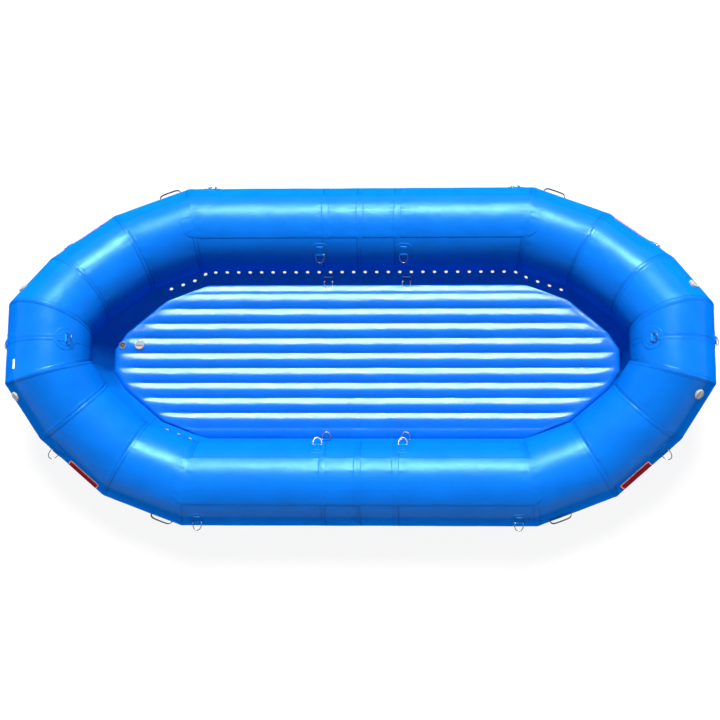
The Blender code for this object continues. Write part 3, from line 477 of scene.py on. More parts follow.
corners = []
base = quarter_corners()
for quarter, order in (
    ("bow_port", range(4)),
    ("bow_starboard", range(3, -1, -1)),
    ("stern_starboard", range(4)),
    ("stern_port", range(3, -1, -1)),
):
    ahead, facing = QUARTERS[quarter]
    corners += [(quarter, k, base[k] * (ahead, facing, 1)) for k in order]
cells = {}
for number, (before, after) in enumerate(zip(corners, corners[1:] + corners[:1])):
    (quarter, a, start), (quarter_after, b, end) = before, after
    if quarter == quarter_after:
        name = f"bend_{'abc'[min(a, b)]}_{quarter}"
    elif a == 3:
        name = f"end_tube_{quarter.split('_')[0]}"
    else:
        name = f"side_tube_{quarter.split('_')[1]}"
    cells[name] = Cell(name, start, end, number)
ordered = list(cells.values())
for before, after in zip(ordered, ordered[1:] + ordered[:1]):
    before.end_plane = after.start_plane = unit(before.along + after.along)
for name, cell in cells.items():
    cell.seams = []
    if name.startswith("side"):
        cell.seams = [cell.length / 2 + x * np.sign(cell.along[0]) for x in SEAMS_X]
    elif name.startswith("end"):
        cell.seams = [cell.length / 2]
print(len(cells), "cells, from", ordered[0].name, "round to", ordered[-1].name)

# %% [markdown]
# ## Mesh helpers
#
# Most pieces here are grids of points that are bent to a rule, so one helper gives the faces
# of a grid and another makes the finished piece: its mesh, its map, its finish, the body that
# it rides on and the CAD nodes that it stands for.

# %% Mesh helpers
def full_turn(steps):
    """Angles once round, evenly spaced."""
    return np.linspace(0, 2 * math.pi, steps, endpoint=False)


def fan(hub, first, count):
    """Triangles from a hub to each side of a closed row of points."""
    return [(hub, first + j, first + (j + 1) % count) for j in range(count)]


def flipped(faces):
    return [face[::-1] for face in faces]


def grid_faces(rows, columns, close_rows=False, close_columns=False, first=0):
    """Quads over a grid of points, numbered along the columns of each row."""
    faces = []
    for i in range(rows if close_rows else rows - 1):
        for j in range(columns if close_columns else columns - 1):
            k, m = (i + 1) % rows, (j + 1) % columns
            faces.append((i * columns + j, k * columns + j, k * columns + m, i * columns + m))
    return [tuple(first + n for n in face) for face in faces]


def closed_slab(faces, count):
    """A sheet's faces, their twins on a second set of points under it, and the rim."""
    edges = [edge for face in faces for edge in zip(face, face[1:] + face[:1])]
    used = set(edges)
    rim = [(b, a, a + count, b + count) for a, b in edges if (b, a) not in used]
    return list(faces) + [tuple(n + count for n in face[::-1]) for face in faces] + rim


def make_piece(name, points, faces, material, body="raft", nodes=(), flat_map=None,
               sharp_deg=40.0):
    """A finished piece, with an optional map that has one pair of numbers for each point."""
    mesh = bpy.data.meshes.new(name)
    mesh.from_pydata([tuple(p) for p in np.asarray(points, float)], [], faces)
    mesh.shade_smooth()
    mesh.set_sharp_from_angle(angle=math.radians(sharp_deg))
    if flat_map is not None:
        layer = mesh.uv_layers.new(name="UVMap")
        corner_points = np.zeros(len(mesh.loops), int)
        mesh.loops.foreach_get("vertex_index", corner_points)
        layer.data.foreach_set("uv", np.asarray(flat_map, np.float32)[corner_points].ravel())
    mesh.materials.append(material)
    piece = place_object(name, mesh)
    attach(piece, body)
    if nodes:
        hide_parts(*nodes)
    return piece

# %% [markdown]
# ## The tube's skins
#
# An inflated cell is nearly a cylinder: the fabric swells a little between its seams, and small
# puckers run away from each seam, where flat cloth was glued into an elbow. A cloth simulation
# of a whole raft would be slow and less even than the real, welded skin, so the swells and
# puckers are worked out point by point. There are many rows near the seams and few in between.

# %% The tube's skins
ROUND_STEPS = 144
ROW_FINE, ROW_COARSE = 0.006, 0.016
CROWDED_SHARE = 0.12
BUNCHED, EVEN = 0.75, 0.25


def crowded_rows(stops, fine, coarse):
    """Places from the first stop to the last, closer together near every stop."""
    places = []
    for low, high in zip(stops, stops[1:]):
        count = max(6, int((high - low - CROWDED_SHARE) / coarse) + int(CROWDED_SHARE / fine))
        bent = (1 - np.cos(np.linspace(0, math.pi, count + 1))) / 2
        even = np.linspace(0, 1, count + 1)
        places += list(low + (high - low) * (BUNCHED * bent + EVEN * even))[:-1]
    return np.array(places + [stops[-1]])


clocks = full_turn(ROUND_STEPS)
triangles = 0
for name, cell in cells.items():
    shares = crowded_rows([0, *[seam / cell.length for seam in sorted(cell.seams)], 1],
                          ROW_FINE / cell.length, ROW_COARSE / cell.length)
    places = cell.between(clocks, shares[:, None])
    points = cell.point(places, clocks[None, :])
    points[..., 2] = np.clip(points[..., 2], 0, None)
    rows = len(shares)
    flat_map = np.stack([places, np.broadcast_to(clocks * TUBE_RADIUS, places.shape)], axis=-1)
    faces = grid_faces(rows, ROUND_STEPS, close_columns=True)
    ends = np.array([cell.start, cell.end])
    hub_start, hub_end = rows * ROUND_STEPS, rows * ROUND_STEPS + 1
    faces += fan(hub_start, 0, ROUND_STEPS)
    faces += flipped(fan(hub_end, (rows - 1) * ROUND_STEPS, ROUND_STEPS))
    make_piece(
        f"skin_{name}", np.vstack([points.reshape(-1, 3), ends]), faces, tube_fabric,
        nodes=[name], flat_map=np.vstack([flat_map.reshape(-1, 2), [[0, 0], [0, 0]]]),
    )
    triangles += 2 * len(faces)
print("skins:", len(cells), "pieces, about", triangles, "triangles")

# %% [markdown]
# ## Seam tapes
#
# A strip of the same fabric, as wide as three fingers, is glued over every joint between two
# cells, and over the joints in the long sides, so that no raw edge meets the water. Each tape
# is a closed band: its section is a low plateau with soft edges whose foot is sunk in the skin,
# carried round the tube on both sides of the joint.

# %% Seam tapes
TAPE_HALF = 0.021
TAPE_SECTION = ((0.0214, -0.0010), (0.0210, 0.0002), (0.0195, 0.0009), (0.0120, 0.0011),
                (0.0018, 0.0010), (0.0006, 0.0004))
TAPE_SUNK = -0.004
TAPE_MAP_WIDTH = 0.06
SEAM_TAPE_SHARE = {"end": 0.35, "side": 0.8}


def belt(name, stations, material):
    """A closed band round the tube through (cell, places, height) stations."""
    rings = []
    for cell, place, height in stations:
        ring = cell.point(place, clocks, height)
        ring[:, 2] = np.clip(ring[:, 2], 0, None)
        rings.append(ring)
    faces = grid_faces(len(rings), ROUND_STEPS, close_rows=True, close_columns=True)
    spread = np.linspace(0, TAPE_MAP_WIDTH, len(rings))
    flat_map = [[u, c * TUBE_RADIUS] for u in spread for c in clocks]
    return make_piece(name, np.concatenate(rings), faces, material, flat_map=flat_map,
                      sharp_deg=25)


def make_tape(name, before, end_at, after, start_at, thin=1.0):
    """A tape over the joint of two cells, given where it is along each one at a height."""
    section = [(d, h * thin) for d, h in TAPE_SECTION]
    stations = [(before, end_at(h) - d, h) for d, h in section]
    stations += [(after, start_at(h) + d, h) for d, h in section[::-1]]
    stations += [(after, start_at(TAPE_SUNK) + TAPE_HALF, TAPE_SUNK)]
    stations += [(before, end_at(TAPE_SUNK) - TAPE_HALF, TAPE_SUNK)]
    belt(name, stations, tape_fabric)


for before, after in zip(ordered, ordered[1:] + ordered[:1]):
    make_tape(f"tape_{before.name}_{after.name}", before, lambda h: before.limits(clocks, h)[1],
              after, lambda h: after.limits(clocks, h)[0])
for name, cell in cells.items():
    for number, seam in enumerate(cell.seams):
        place = np.full(ROUND_STEPS, seam)
        make_tape(f"tape_{name}_{number}", cell, lambda h: place, cell, lambda h: place,
                  SEAM_TAPE_SHARE[name.split("_")[0]])
print(len(ordered) + sum(len(cell.seams) for cell in ordered), "seam tapes")

# %% [markdown]
# ## Frame-rub pads
#
# A second layer of fabric is glued on top of each long side, where a rowing frame or a boot
# would wear the tube. Its ends run a little way onto the first bends, with round corners. It is
# laid out as cross rows from end to end, each as wide as the round corners leave it there.

# %% Frame-rub pads
PAD_INBOARD = math.radians(-29.0)
PAD_OUTBOARD = math.radians(40.0)
PAD_THICKNESS = 0.0014
PAD_RUN_ON = 0.075
PAD_CORNER = 0.10
PAD_DEPTH = 0.003
PAD_STEPS = 36
PAD_EDGE, PAD_SHOULDER = 0.002, 0.006
PAD_EDGE_HEIGHTS = (-0.001, 0.45 * PAD_THICKNESS)
PAD_FIRST_ROWS = (0.0003, 0.001)
PAD_END_ROW, PAD_END_ROWS = 0.004, 16
PAD_ROWS = (0.003, 0.012)
TAPE_HEIGHT, TAPE_SLOPE = 0.0011, 0.004


def pad_row(cell, place_of, trim, height_share=1.0, tape=0.0):
    """One cross row of a pad: raised points, and sunk ones under its two edges."""
    low, high = PAD_INBOARD + trim / TUBE_RADIUS, PAD_OUTBOARD - trim / TUBE_RADIUS
    inside = np.linspace(low + PAD_SHOULDER, high - PAD_SHOULDER, PAD_STEPS)
    clock = np.concatenate([[low, low + PAD_EDGE], inside, [high - PAD_EDGE, high]])
    height = np.full(len(clock), PAD_THICKNESS * height_share + tape)
    height[[0, -1]] = PAD_EDGE_HEIGHTS[0]
    height[[1, -2]] = PAD_EDGE_HEIGHTS[1] * height_share
    return cell.point(place_of(clock), clock, height), clock


def corner_trim(from_end):
    """How much a round corner takes off each side of a row, near the pad's end."""
    if from_end >= PAD_CORNER:
        return 0.0
    return PAD_CORNER - math.sqrt(PAD_CORNER**2 - (PAD_CORNER - from_end) ** 2)


for side in ("port", "starboard"):
    middle = ordered.index(cells[f"side_tube_{side}"])
    before, cell, after = (ordered[(middle + k) % len(ordered)] for k in (-1, 0, 1))
    rows, maps = [], []

    def add_row(on, place_of, from_end, along, **raised):
        row, clock = pad_row(on, place_of, corner_trim(from_end), **raised)
        rows.append(row)
        maps.append((along, clock))

    run = np.concatenate([PAD_FIRST_ROWS, np.linspace(PAD_END_ROW, PAD_RUN_ON, PAD_END_ROWS)])
    height_shares = [0.1] + [1.0] * (len(run) - 1)
    for d, height_share in zip(run, height_shares):
        add_row(before, lambda c: before.limits(c)[1] - (PAD_RUN_ON - d), d, d,
                height_share=height_share)
    stops = [(s + d) / cell.length for s in sorted(cell.seams) for d in (-TAPE_HALF, TAPE_HALF)]
    for share in crowded_rows([0, *stops, 1], *PAD_ROWS)[1:-1]:
        off = min(abs(share * cell.length - s) for s in cell.seams)
        over = (TAPE_HALF + TAPE_SLOPE / 2 - off) / TAPE_SLOPE
        tape = TAPE_HEIGHT * min(max(over, 0.0), 1.0)
        add_row(cell, lambda c: cell.between(c, share),
                PAD_RUN_ON + cell.length * min(share, 1 - share),
                PAD_RUN_ON + cell.length * share, tape=tape)
    for d, height_share in zip(run[::-1], height_shares[::-1]):
        add_row(after, lambda c: after.limits(c)[0] + (PAD_RUN_ON - d), d,
                cell.length + 2 * PAD_RUN_ON - d, height_share=height_share)
    points = np.concatenate(rows)
    flat_map = [[u, c * TUBE_RADIUS] for u, clock in maps for c in clock]
    make_piece(f"rub_pad_{side}", np.vstack([points, points - (0, 0, PAD_DEPTH)]),
               closed_slab(grid_faces(len(rows), len(rows[0])), len(points)), pad_fabric,
               flat_map=flat_map + flat_map, sharp_deg=50)
print("two rub pads,", len(rows), "rows each")

# %% [markdown]
# ## Bonded patches
#
# Everything that hangs on the raft is sewn or riveted to a patch, and the patch is glued to the
# skin. A patch could be a flat plate laid on the tube, but glued fabric bends with the skin, so
# each patch is made of shrinking copies of its outline, all of them laid on the cell by their
# distance along it and round it. The edge is a small step with a soft shoulder.

# %% Bonded patches
def round_rectangle(width, height, corner, steps=7, spacing=0.012):
    """The outline of a rectangle with round corners, anticlockwise, about its middle."""
    half_w, half_h = width / 2 - corner, height / 2 - corner
    points = []
    for quarter, (cx, cy) in enumerate(
        ((half_w, half_h), (-half_w, half_h), (-half_w, -half_h), (half_w, -half_h))
    ):
        for k in range(steps + 1):
            angle = math.pi / 2 * (quarter + k / steps)
            points.append((cx + corner * math.cos(angle), cy + corner * math.sin(angle)))
    dense = []
    for a, b in zip(points, points[1:] + points[:1]):
        a, b = np.array(a), np.array(b)
        count = max(1, int(np.linalg.norm(b - a) / spacing))
        dense += [a + (b - a) * k / count for k in range(count)]
    return np.array(dense)


def disc(radius, sides=56):
    turns = full_turn(sides)
    return np.stack([radius * np.cos(turns), radius * np.sin(turns)], axis=1)


def on_cell(cell, place, clock):
    """Points of a cell's skin, from distances along it, round it and off it."""
    return lambda u, v, height: cell.point(place + u, clock + v / TUBE_RADIUS, height)


def on_plane(origin, along, across, outward):
    def surface(u, v, height):
        return (origin + np.asarray(u)[:, None] * along + np.asarray(v)[:, None] * across
                + np.reshape(height, (-1, 1)) * outward)
    return surface


EDGE_ROWS = ((0.0, 0.25), (0.35, 0.75), (1.0, 1.0))
TOP_SHARES = (0.93, 0.75, 0.5, 0.25)


def patch(name, surface, outline, thickness, material, base=0.0, edge=0.0012, sunk=0.0015,
          unit_map=False, body="raft"):
    """A bonded patch: shrinking copies of an outline, laid on a surface, with a soft step.
    The edge's rows are drawn in by a length, and those of the top by a share."""
    reach = np.abs(outline).max(axis=0)
    top = base + thickness
    levels = [(outline, -sunk)]
    levels += [(outline * (1 - edge * run / reach), base + thickness * rise)
               for run, rise in EDGE_ROWS]
    levels += [(outline * share, top) for share in TOP_SHARES]
    rings = [surface(*drawn.T, height) for drawn, height in levels]
    rings += [surface(np.zeros(1), np.zeros(1), height) for height in (top, -sunk)]
    count = len(outline)
    faces = flipped(grid_faces(len(levels), count, close_columns=True))
    last, hub = (len(levels) - 1) * count, len(levels) * count
    faces += fan(hub, last, count) + flipped(fan(hub + 1, 0, count))
    flat_map = np.concatenate([drawn for drawn, _ in levels] + [np.zeros((2, 2))])
    if unit_map:
        flat_map = flat_map / (2 * reach) + 0.5
    return make_piece(name, np.concatenate(rings), faces, material, body=body,
                      flat_map=flat_map, sharp_deg=60)


def from_side_end(cell, quarter, distance):
    """A distance from the end of a bend that is nearer to the side, as a place on it."""
    ahead, facing = QUARTERS[quarter]
    return distance if ahead * facing > 0 else cell.length - distance


own_plane = on_plane(np.zeros(3), *np.eye(3))
print("patch helper ready")

# %% [markdown]
# ## Swept wire, with Geometry Nodes
#
# Twenty lashing rings are bent from the same steel wire, so one node tree makes them all: it
# carries a round section along the piece's own line, and its inputs name the wire's thickness
# and the finish. The line is a closed curve of a straight bar, two shoulders and half an
# ellipse. The result is kept as a plain mesh and the tree is taken off.

# %% Swept wire
SMOOTH = ("GeometryNodeSetShadeSmooth", {})


def start_tree(name, geometry, values, result):
    """A node tree that is given a geometry, some values and a finish, and what it is given."""
    tree = bpy.data.node_groups.new(name, "GeometryNodeTree")
    for title, kind in {geometry: "Geometry", **values, "Finish": "Material"}.items():
        tree.interface.new_socket(title, in_out="INPUT", socket_type=f"NodeSocket{kind}")
    tree.interface.new_socket(result, in_out="OUTPUT", socket_type="NodeSocketGeometry")
    return tree, add_node(tree, "NodeGroupInput").outputs


def end_tree(tree, given, geometry, *steps):
    """Make a tree's geometry real, take it through more steps, paint it and give it out."""
    geometry = feed(tree, "GeometryNodeRealizeInstances", {0: geometry})
    for kind, inputs in steps:
        geometry = feed(tree, kind, {0: geometry, **inputs})
    paint = feed(tree, "GeometryNodeSetMaterial",
                 {"Geometry": geometry, "Material": given["Finish"]})
    add_node(tree, "NodeGroupOutput", {0: paint})
    return tree


def wire_tree():
    """A round wire along a line."""
    tree, given = start_tree("swept_wire", "Line", {"Wire Radius": "Float", "Sides": "Int"},
                             "Wire")
    section = feed(tree, "GeometryNodeCurvePrimitiveCircle",
                   {"Radius": given["Wire Radius"], "Resolution": given["Sides"]}, "Curve")
    sweep = feed(tree, "GeometryNodeCurveToMesh",
                 {"Curve": given["Line"], "Profile Curve": section, "Fill Caps": True}, "Mesh")
    return end_tree(tree, given, sweep, SMOOTH)


def applied(target):
    """The mesh that an object's modifiers make of it."""
    bpy.context.view_layer.update()
    evaluated = target.evaluated_get(bpy.context.evaluated_depsgraph_get())
    return bpy.data.meshes.new_from_object(evaluated)


def run_tree(name, host, tree, values):
    """Run a tree on an object, and return its result as a plain mesh object of that name."""
    modifier = host.modifiers.new("tree", "NODES")
    modifier.node_group = tree
    for item in tree.interface.items_tree:
        if item.in_out == "INPUT" and item.name in values:
            modifier[item.identifier] = values[item.name]
    mesh = applied(host)
    mesh.name = name
    bpy.data.objects.remove(host)
    return place_object(name, mesh)


def line_object(points, closed):
    curve = bpy.data.curves.new("line", "CURVE")
    curve.dimensions = "3D"
    spline = curve.splines.new("POLY")
    spline.points.add(len(points) - 1)
    for target, point in zip(spline.points, points):
        target.co = (*point, 1)
    spline.use_cyclic_u = closed
    return place_object("line", curve)


wire = wire_tree()
print("node tree", wire.name, "with", len(wire.nodes), "nodes")

# %% [markdown]
# ## Steel, webbing and moulded plastic
#
# The rings are polished stainless steel, scuffed a little by straps. Handles are dark webbing,
# whose weave follows the piece's own map. The valves are grey moulded plastic with a fine
# pebbled grain and paler, worn edges, which the shader finds by the pointiness of the mesh.

# %% Steel
def steel_finish():
    material, tree, shader = new_material("ring_steel", (0.21, 0.23, 0.24), 0.28, 1.0)
    scuffs = noise(tree, feed(tree, "ShaderNodeTexCoord", socket="Object"), 160.0, 6.0)
    plug(shader, {
        "Base Color": ramp(tree, scuffs, (0.16, 0.18, 0.19), (0.27, 0.29, 0.30)),
        "Roughness": span(tree, scuffs, 0.16, 0.40),
        "Normal": bump(tree, scuffs, 0.0001, 0.3),
    })
    return material


steel = steel_finish()

# %% Webbing
def webbing_finish(name, colour):
    material, tree, shader = new_material(name, colour, 0.78)
    weave = threads(tree, add_node(tree, "ShaderNodeTexCoord"), (21.0, 35.0), 0.6)
    plug(shader, {
        "Base Color": ramp(tree, weave, scaled(colour, 0.6), scaled(colour, 1.5)),
        "Normal": bump(tree, weave, 0.0005, 0.8),
    })
    return material


handle_webbing = webbing_finish("handle_webbing", (0.035, 0.045, 0.045))

# %% Moulded plastic
def plastic_finish(name, colour):
    material, tree, shader = new_material(name, colour, 0.42)
    point = feed(tree, "ShaderNodeTexCoord", socket="Object")
    edges = feed(tree, "ShaderNodeNewGeometry", socket="Pointiness")
    tone = ramp(tree, noise(tree, point, 90.0, 5.0), scaled(colour, 0.80), scaled(colour, 1.12),
                0.3, 0.7)
    plug(shader, {
        "Base Color": mixed(tree, span(tree, edges, 0.0, 0.7, 0.50, 0.60), tone,
                            scaled(colour, 1.5, 0.03)),
        "Specular IOR Level": 0.25,
        "Normal": bump(tree, noise(tree, point, 900.0, 2.0), 0.0001, 0.4),
    })
    return material


grey_plastic = plastic_finish("grey_plastic", (0.20, 0.21, 0.21))
pale_plastic = plastic_finish("pale_plastic", (0.27, 0.28, 0.285))
dark_plastic = plastic_finish("dark_plastic", (0.045, 0.055, 0.06))
print("steel, webbing and three plastics")

# %% [markdown]
# ## Lashing rings and their seats
#
# Each ring hangs from a loop of webbing that comes out from under its patch. From below upward
# a seat is a patch with round corners, a doubled strap under a second layer, which shows as a
# raised rectangle, and the loop round the ring's bar. The rings on the far side and at the ends
# hang down the tube, the near ones stand out level, and the two round patches on top of the
# ends have a ring that lies on the skin. The turn of each loop is a closed C of webbing.

# %% Sizes of the rings and their seats
RING_WIRE = 0.0055
RING_WIDTH = 0.058
RING_REACH = 0.052
RING_SHOULDER = 0.012
RING_CORNER = 0.0045
STRAP_WIDTH = 0.042
STRAP_LENGTH = 0.056
PATCH_THICKNESS = 0.0020
STRAP_THICKNESS = 0.0018
STRAP_INSET = 0.003
LOOP_GAP, LOOP_SUNK = 0.0005, 0.0005
LOOP_RADIUS = RING_WIRE / 2 + LOOP_GAP + STRAP_THICKNESS
BAR_HEIGHT = PATCH_THICKNESS + LOOP_RADIUS - LOOP_SUNK

LOOP_ANGLES = [math.radians(50 + 260 * k / 21) for k in range(22)]
LOOP_TAIL, LOOP_PINCH, LOOP_TAIL_THICKNESS = 0.012, 0.62, 0.0012
LOOP_EDGE, LOOP_EDGE_SHARE = 0.0008, 0.93
LOOP_MAP_LENGTH = 0.04
SEAT_PATCH = (0.098, 0.138, 0.030)
SEAT_PATCH_SHIFT = 0.009
ROUND_PATCH_RADIUS = 0.0715
INNER_PATCH_RADIUS, INNER_PATCH_THICKNESS = 0.046, 0.0014
STRAP_CORNER, STRAP_EDGE = 0.004, 0.0022

SIDE_RING_FROM_END = {"bow_port": 0.071, "bow_starboard": 0.069,
                      "stern_port": 0.101, "stern_starboard": 0.065}
BEND_RING_ALONG = {"port": 0.313, "starboard": 0.346}
END_RING_Y = {"bow": 0.028, "stern": 0.013}
INNER_RING_MIDDLE, INNER_RING_HALF_PITCH = 0.012, 0.257
RING_CLOCK_DEG = {"side": 73.0, "inner": -54.0, "bend": 77.0, "end": 86.0, "top": -33.75}
POINTING_DEG = {"port": 156.0, "starboard": 90.0, "inner": -110.0, "end": 156.0}
TOP_POINTING_DEG = {"bow": 39.0, "stern": -49.0}

# %% Where each ring sits
def tube_ring_seats():
    """Kind and tag of each ring, its cell, its place along it, and where it points."""
    seats = []
    for quarter, (ahead, facing) in QUARTERS.items():
        side = quarter.split("_")[1]
        cell = cells[f"side_tube_{side}"]
        turned = facing * ahead
        outer = cell.length / 2 + turned * (cell.length / 2 - SIDE_RING_FROM_END[quarter])
        seats.append(("side", quarter, cell, outer, POINTING_DEG[side]))
        inner = cell.length / 2 + facing * (INNER_RING_MIDDLE + ahead * INNER_RING_HALF_PITCH)
        seats.append(("inner", quarter, cell, inner, POINTING_DEG["inner"]))
        bend = cells[f"bend_b_{quarter}"]
        place = from_side_end(bend, quarter, BEND_RING_ALONG[side])
        seats.append(("bend", quarter, bend, place, POINTING_DEG[side]))
    for end, ahead in (("bow", 1), ("stern", -1)):
        cell = cells[f"end_tube_{end}"]
        place = cell.length / 2 - ahead * END_RING_Y[end]
        seats.append(("end", end, cell, place, POINTING_DEG["end"]))
        seats.append(("top", end, cell, cell.length / 2, TOP_POINTING_DEG[end]))
    return seats


def ring_line(bar, along, outwards):
    """The middle line of a ring's wire, from its bar."""
    half = (RING_WIDTH - RING_WIRE) / 2
    reach = RING_REACH - RING_WIRE / 2 - RING_SHOULDER
    bends = [math.pi / 2 * k / 5 for k in range(6)]
    foot = [(half - RING_CORNER * (1 - math.sin(a)), RING_CORNER * (1 - math.cos(a)))
            for a in bends]
    bow = [(half * math.cos(a), RING_SHOULDER + reach * math.sin(a))
           for a in (math.pi * k / 28 for k in range(29))]
    flat = [(-foot[0][0], 0)] + foot + bow + [(-x, y) for x, y in foot[:0:-1]]
    return [bar + x * along + y * outwards for x, y in flat]


def make_ring(name, bar, along, outwards):
    host = line_object(ring_line(bar, along, outwards), True)
    ring = run_tree(f"wire_{name}", host, wire,
                    {"Wire Radius": RING_WIRE / 2, "Sides": 14, "Finish": steel})
    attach(ring, name)
    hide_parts(name)
    return ring


def make_loop(name, bar, along, across, outward, upwards, material):
    """Webbing that turns round the bar: an open ring in section whose two ends run on under
    the layer above, towards upwards, 1 or -1, along across."""
    outer, inner = ([(radius * math.cos(a), radius * math.sin(a)) for a in LOOP_ANGLES]
                    for radius in (LOOP_RADIUS, LOOP_RADIUS - STRAP_THICKNESS))
    top = LOOP_RADIUS * LOOP_PINCH
    under = top - LOOP_TAIL_THICKNESS
    section = [(LOOP_TAIL, top), *outer, (LOOP_TAIL, -top)]
    section += [(LOOP_TAIL, -under), *inner[::-1], (LOOP_TAIL, under)]
    half = STRAP_WIDTH / 2
    inside = [(x, 1.0) for x in (LOOP_EDGE - half, -half / 2, 0, half / 2, half - LOOP_EDGE)]
    rows = []
    for x, shrink in [(-half, LOOP_EDGE_SHARE), *inside, (half, LOOP_EDGE_SHARE)]:
        rows.append([bar + x * along + upwards * y * shrink * across + z * shrink * outward
                     for y, z in section])
    count = len(section)
    faces = grid_faces(len(rows), count, close_columns=True)
    last = (len(rows) - 1) * count
    for j in range(count // 2 - 1):
        a, b, c, d = j, j + 1, count - 2 - j, count - 1 - j
        faces += [(b, c, d, a), (last + a, last + d, last + c, last + b)]
    if np.dot(np.cross(along, upwards * across), outward) > 0:
        faces = flipped(faces)
    steps = np.linspace(0, LOOP_MAP_LENGTH, count)
    flat_map = [[x, s] for x in np.linspace(0, STRAP_WIDTH, len(rows)) for s in steps]
    return make_piece(name, np.concatenate(rows), faces, material, flat_map=flat_map,
                      sharp_deg=50)

# %% The tube's rings
def make_seat(tag, surface, upwards, is_round=False):
    """Patch and strap under a ring. The surface's middle is under the bar, and the strap runs
    from there towards upwards, 1 or -1, along its second axis."""
    if is_round:
        patch(f"patch_{tag}", surface, disc(ROUND_PATCH_RADIUS), PATCH_THICKNESS, patch_fabric)
        patch(f"patch_{tag}_inner", surface, disc(INNER_PATCH_RADIUS), INNER_PATCH_THICKNESS,
              patch_fabric, base=PATCH_THICKNESS)
    else:
        outline = round_rectangle(*SEAT_PATCH) + (0, upwards * SEAT_PATCH_SHIFT)
        patch(f"patch_{tag}", surface, outline, PATCH_THICKNESS, patch_fabric)
    strap = round_rectangle(STRAP_WIDTH, STRAP_LENGTH - 2 * STRAP_INSET, STRAP_CORNER, 3, 0.006)
    patch(f"strap_{tag}", surface, strap + (0, upwards * (STRAP_LENGTH / 2 + STRAP_INSET)),
          2 * STRAP_THICKNESS, patch_fabric, base=PATCH_THICKNESS, edge=STRAP_EDGE)


for kind, spot, cell, place, pointing_deg in tube_ring_seats():
    tag = f"{kind}_{spot}"
    clock = math.radians(RING_CLOCK_DEG[kind])
    upwards = -1 if clock > 0 else 1
    outward = cell.away(clock)
    across = np.cross(outward, cell.along)
    make_seat(tag, on_cell(cell, place, clock), upwards, kind == "top")
    bar = cell.start + place * cell.along + (TUBE_RADIUS + BAR_HEIGHT) * outward
    # The loop gets the paler fabric, a painted highlight for the light on its turn.
    make_loop(f"loop_{tag}", bar, cell.along, across, outward, upwards, painted_lit_loop_fabric)
    make_ring(f"ring_{tag}", bar, cell.along, cell.away(math.radians(pointing_deg)))
print("16 rings on the tube")

# %% [markdown]
# ## The ribbed floor
#
# The floor is an air mattress: two sheets tied by lengthwise webs, so that its face is a row of
# round ribs. The rule of the ribs is a few nodes: each point's distance across the floor is
# wrapped by the rib pitch, and a circular arc over what is left gives the height. The flat,
# ribbed sheet that the tree makes is then fitted to the floor's outline, its ribs run out
# towards the edge, and the edge is rounded down. The underside is the same sheet, turned over.

# %% The ribbed floor: the rule
RIB_PITCH = 0.0954
RIB_DEPTH = 0.015
FLOOR_TOP = 0.105
FLOOR_FOOT = 0.007
FLOOR_INSET = TUBE_RADIUS + 0.052
FLOOR_SHIFT = 0.028
SIDE_ROUND, SIDE_DROP = 0.100, 0.028
END_ROUND, END_DROP = 0.035, 0.016
RIB_RUN_OUT = 0.160
SMOOTH_LEVEL = 0.0105
EDGE_RIB_FADE = 0.75
UNDER_RIB_SHARE = 0.8
END_SLANT = 0.86
COLUMN_CROWDING = (0.45, 0.55)
NEARLY_ROUND = 0.999
FOLD, FOLD_SIZE, FOLD_SEED = 0.00045, 0.10, 21
CRUMPLE, CRUMPLE_SIZE, CRUMPLE_SEED, CRUMPLE_RUN = 0.0011, 0.045, 22, 0.07


def rib_tree():
    """A flat sheet whose height is a row of circular arcs."""
    tree, given = start_tree("ribbed_sheet", "Start", {
        "Length": "Float", "Width": "Float", "Columns": "Int", "Rows": "Int",
        "Rib Pitch": "Float", "Rib Depth": "Float",
    }, "Sheet")

    def step(*values):
        return calc(tree, *values)

    grid = feed(tree, "GeometryNodeMeshGrid", {
        "Size X": given["Length"], "Size Y": given["Width"], "Vertices X": given["Columns"],
        "Vertices Y": given["Rows"],
    }, "Mesh")
    place = feed(tree, "GeometryNodeInputPosition")
    across = feed(tree, "ShaderNodeSeparateXYZ", {0: place}, "Y")
    pitch, depth = given["Rib Pitch"], given["Rib Depth"]
    turns = step("FRACT", step("ADD", step("DIVIDE", across, pitch), 100.5))
    off = step("MULTIPLY", step("SUBTRACT", turns, 0.5), pitch)
    half = step("MULTIPLY", pitch, 0.5)
    squares = step("ADD", step("MULTIPLY", half, half), step("MULTIPLY", depth, depth))
    radius = step("DIVIDE", squares, step("MULTIPLY", depth, 2.0))
    inner = step("SUBTRACT", step("MULTIPLY", radius, radius), step("MULTIPLY", off, off))
    height = step("SUBTRACT", step("SQRT", inner), step("SUBTRACT", radius, depth))
    lift = feed(tree, "ShaderNodeCombineXYZ", {"Z": height})
    raised = feed(tree, "GeometryNodeSetPosition", {"Geometry": grid, "Offset": lift})
    return end_tree(tree, given, raised)


def blank_host():
    return place_object("host", bpy.data.meshes.new("host"))


def mesh_parts(piece):
    """A plain piece's points and faces, after which the piece is removed."""
    points = np.array([v.co for v in piece.data.vertices])
    faces = [tuple(polygon.vertices) for polygon in piece.data.polygons]
    bpy.data.objects.remove(piece)
    return points, faces


FLOOR_COLUMNS, FLOOR_ROWS = 201, 127
sheet = run_tree("ribbed_sheet", blank_host(), rib_tree(), {
    "Length": 2.0, "Width": 10.5 * RIB_PITCH, "Columns": FLOOR_COLUMNS, "Rows": FLOOR_ROWS,
    "Rib Pitch": RIB_PITCH, "Rib Depth": RIB_DEPTH, "Finish": floor_fabric,
})
sheet_points, sheet_faces = mesh_parts(sheet)
print("ribbed sheet of", len(sheet_points), "points")

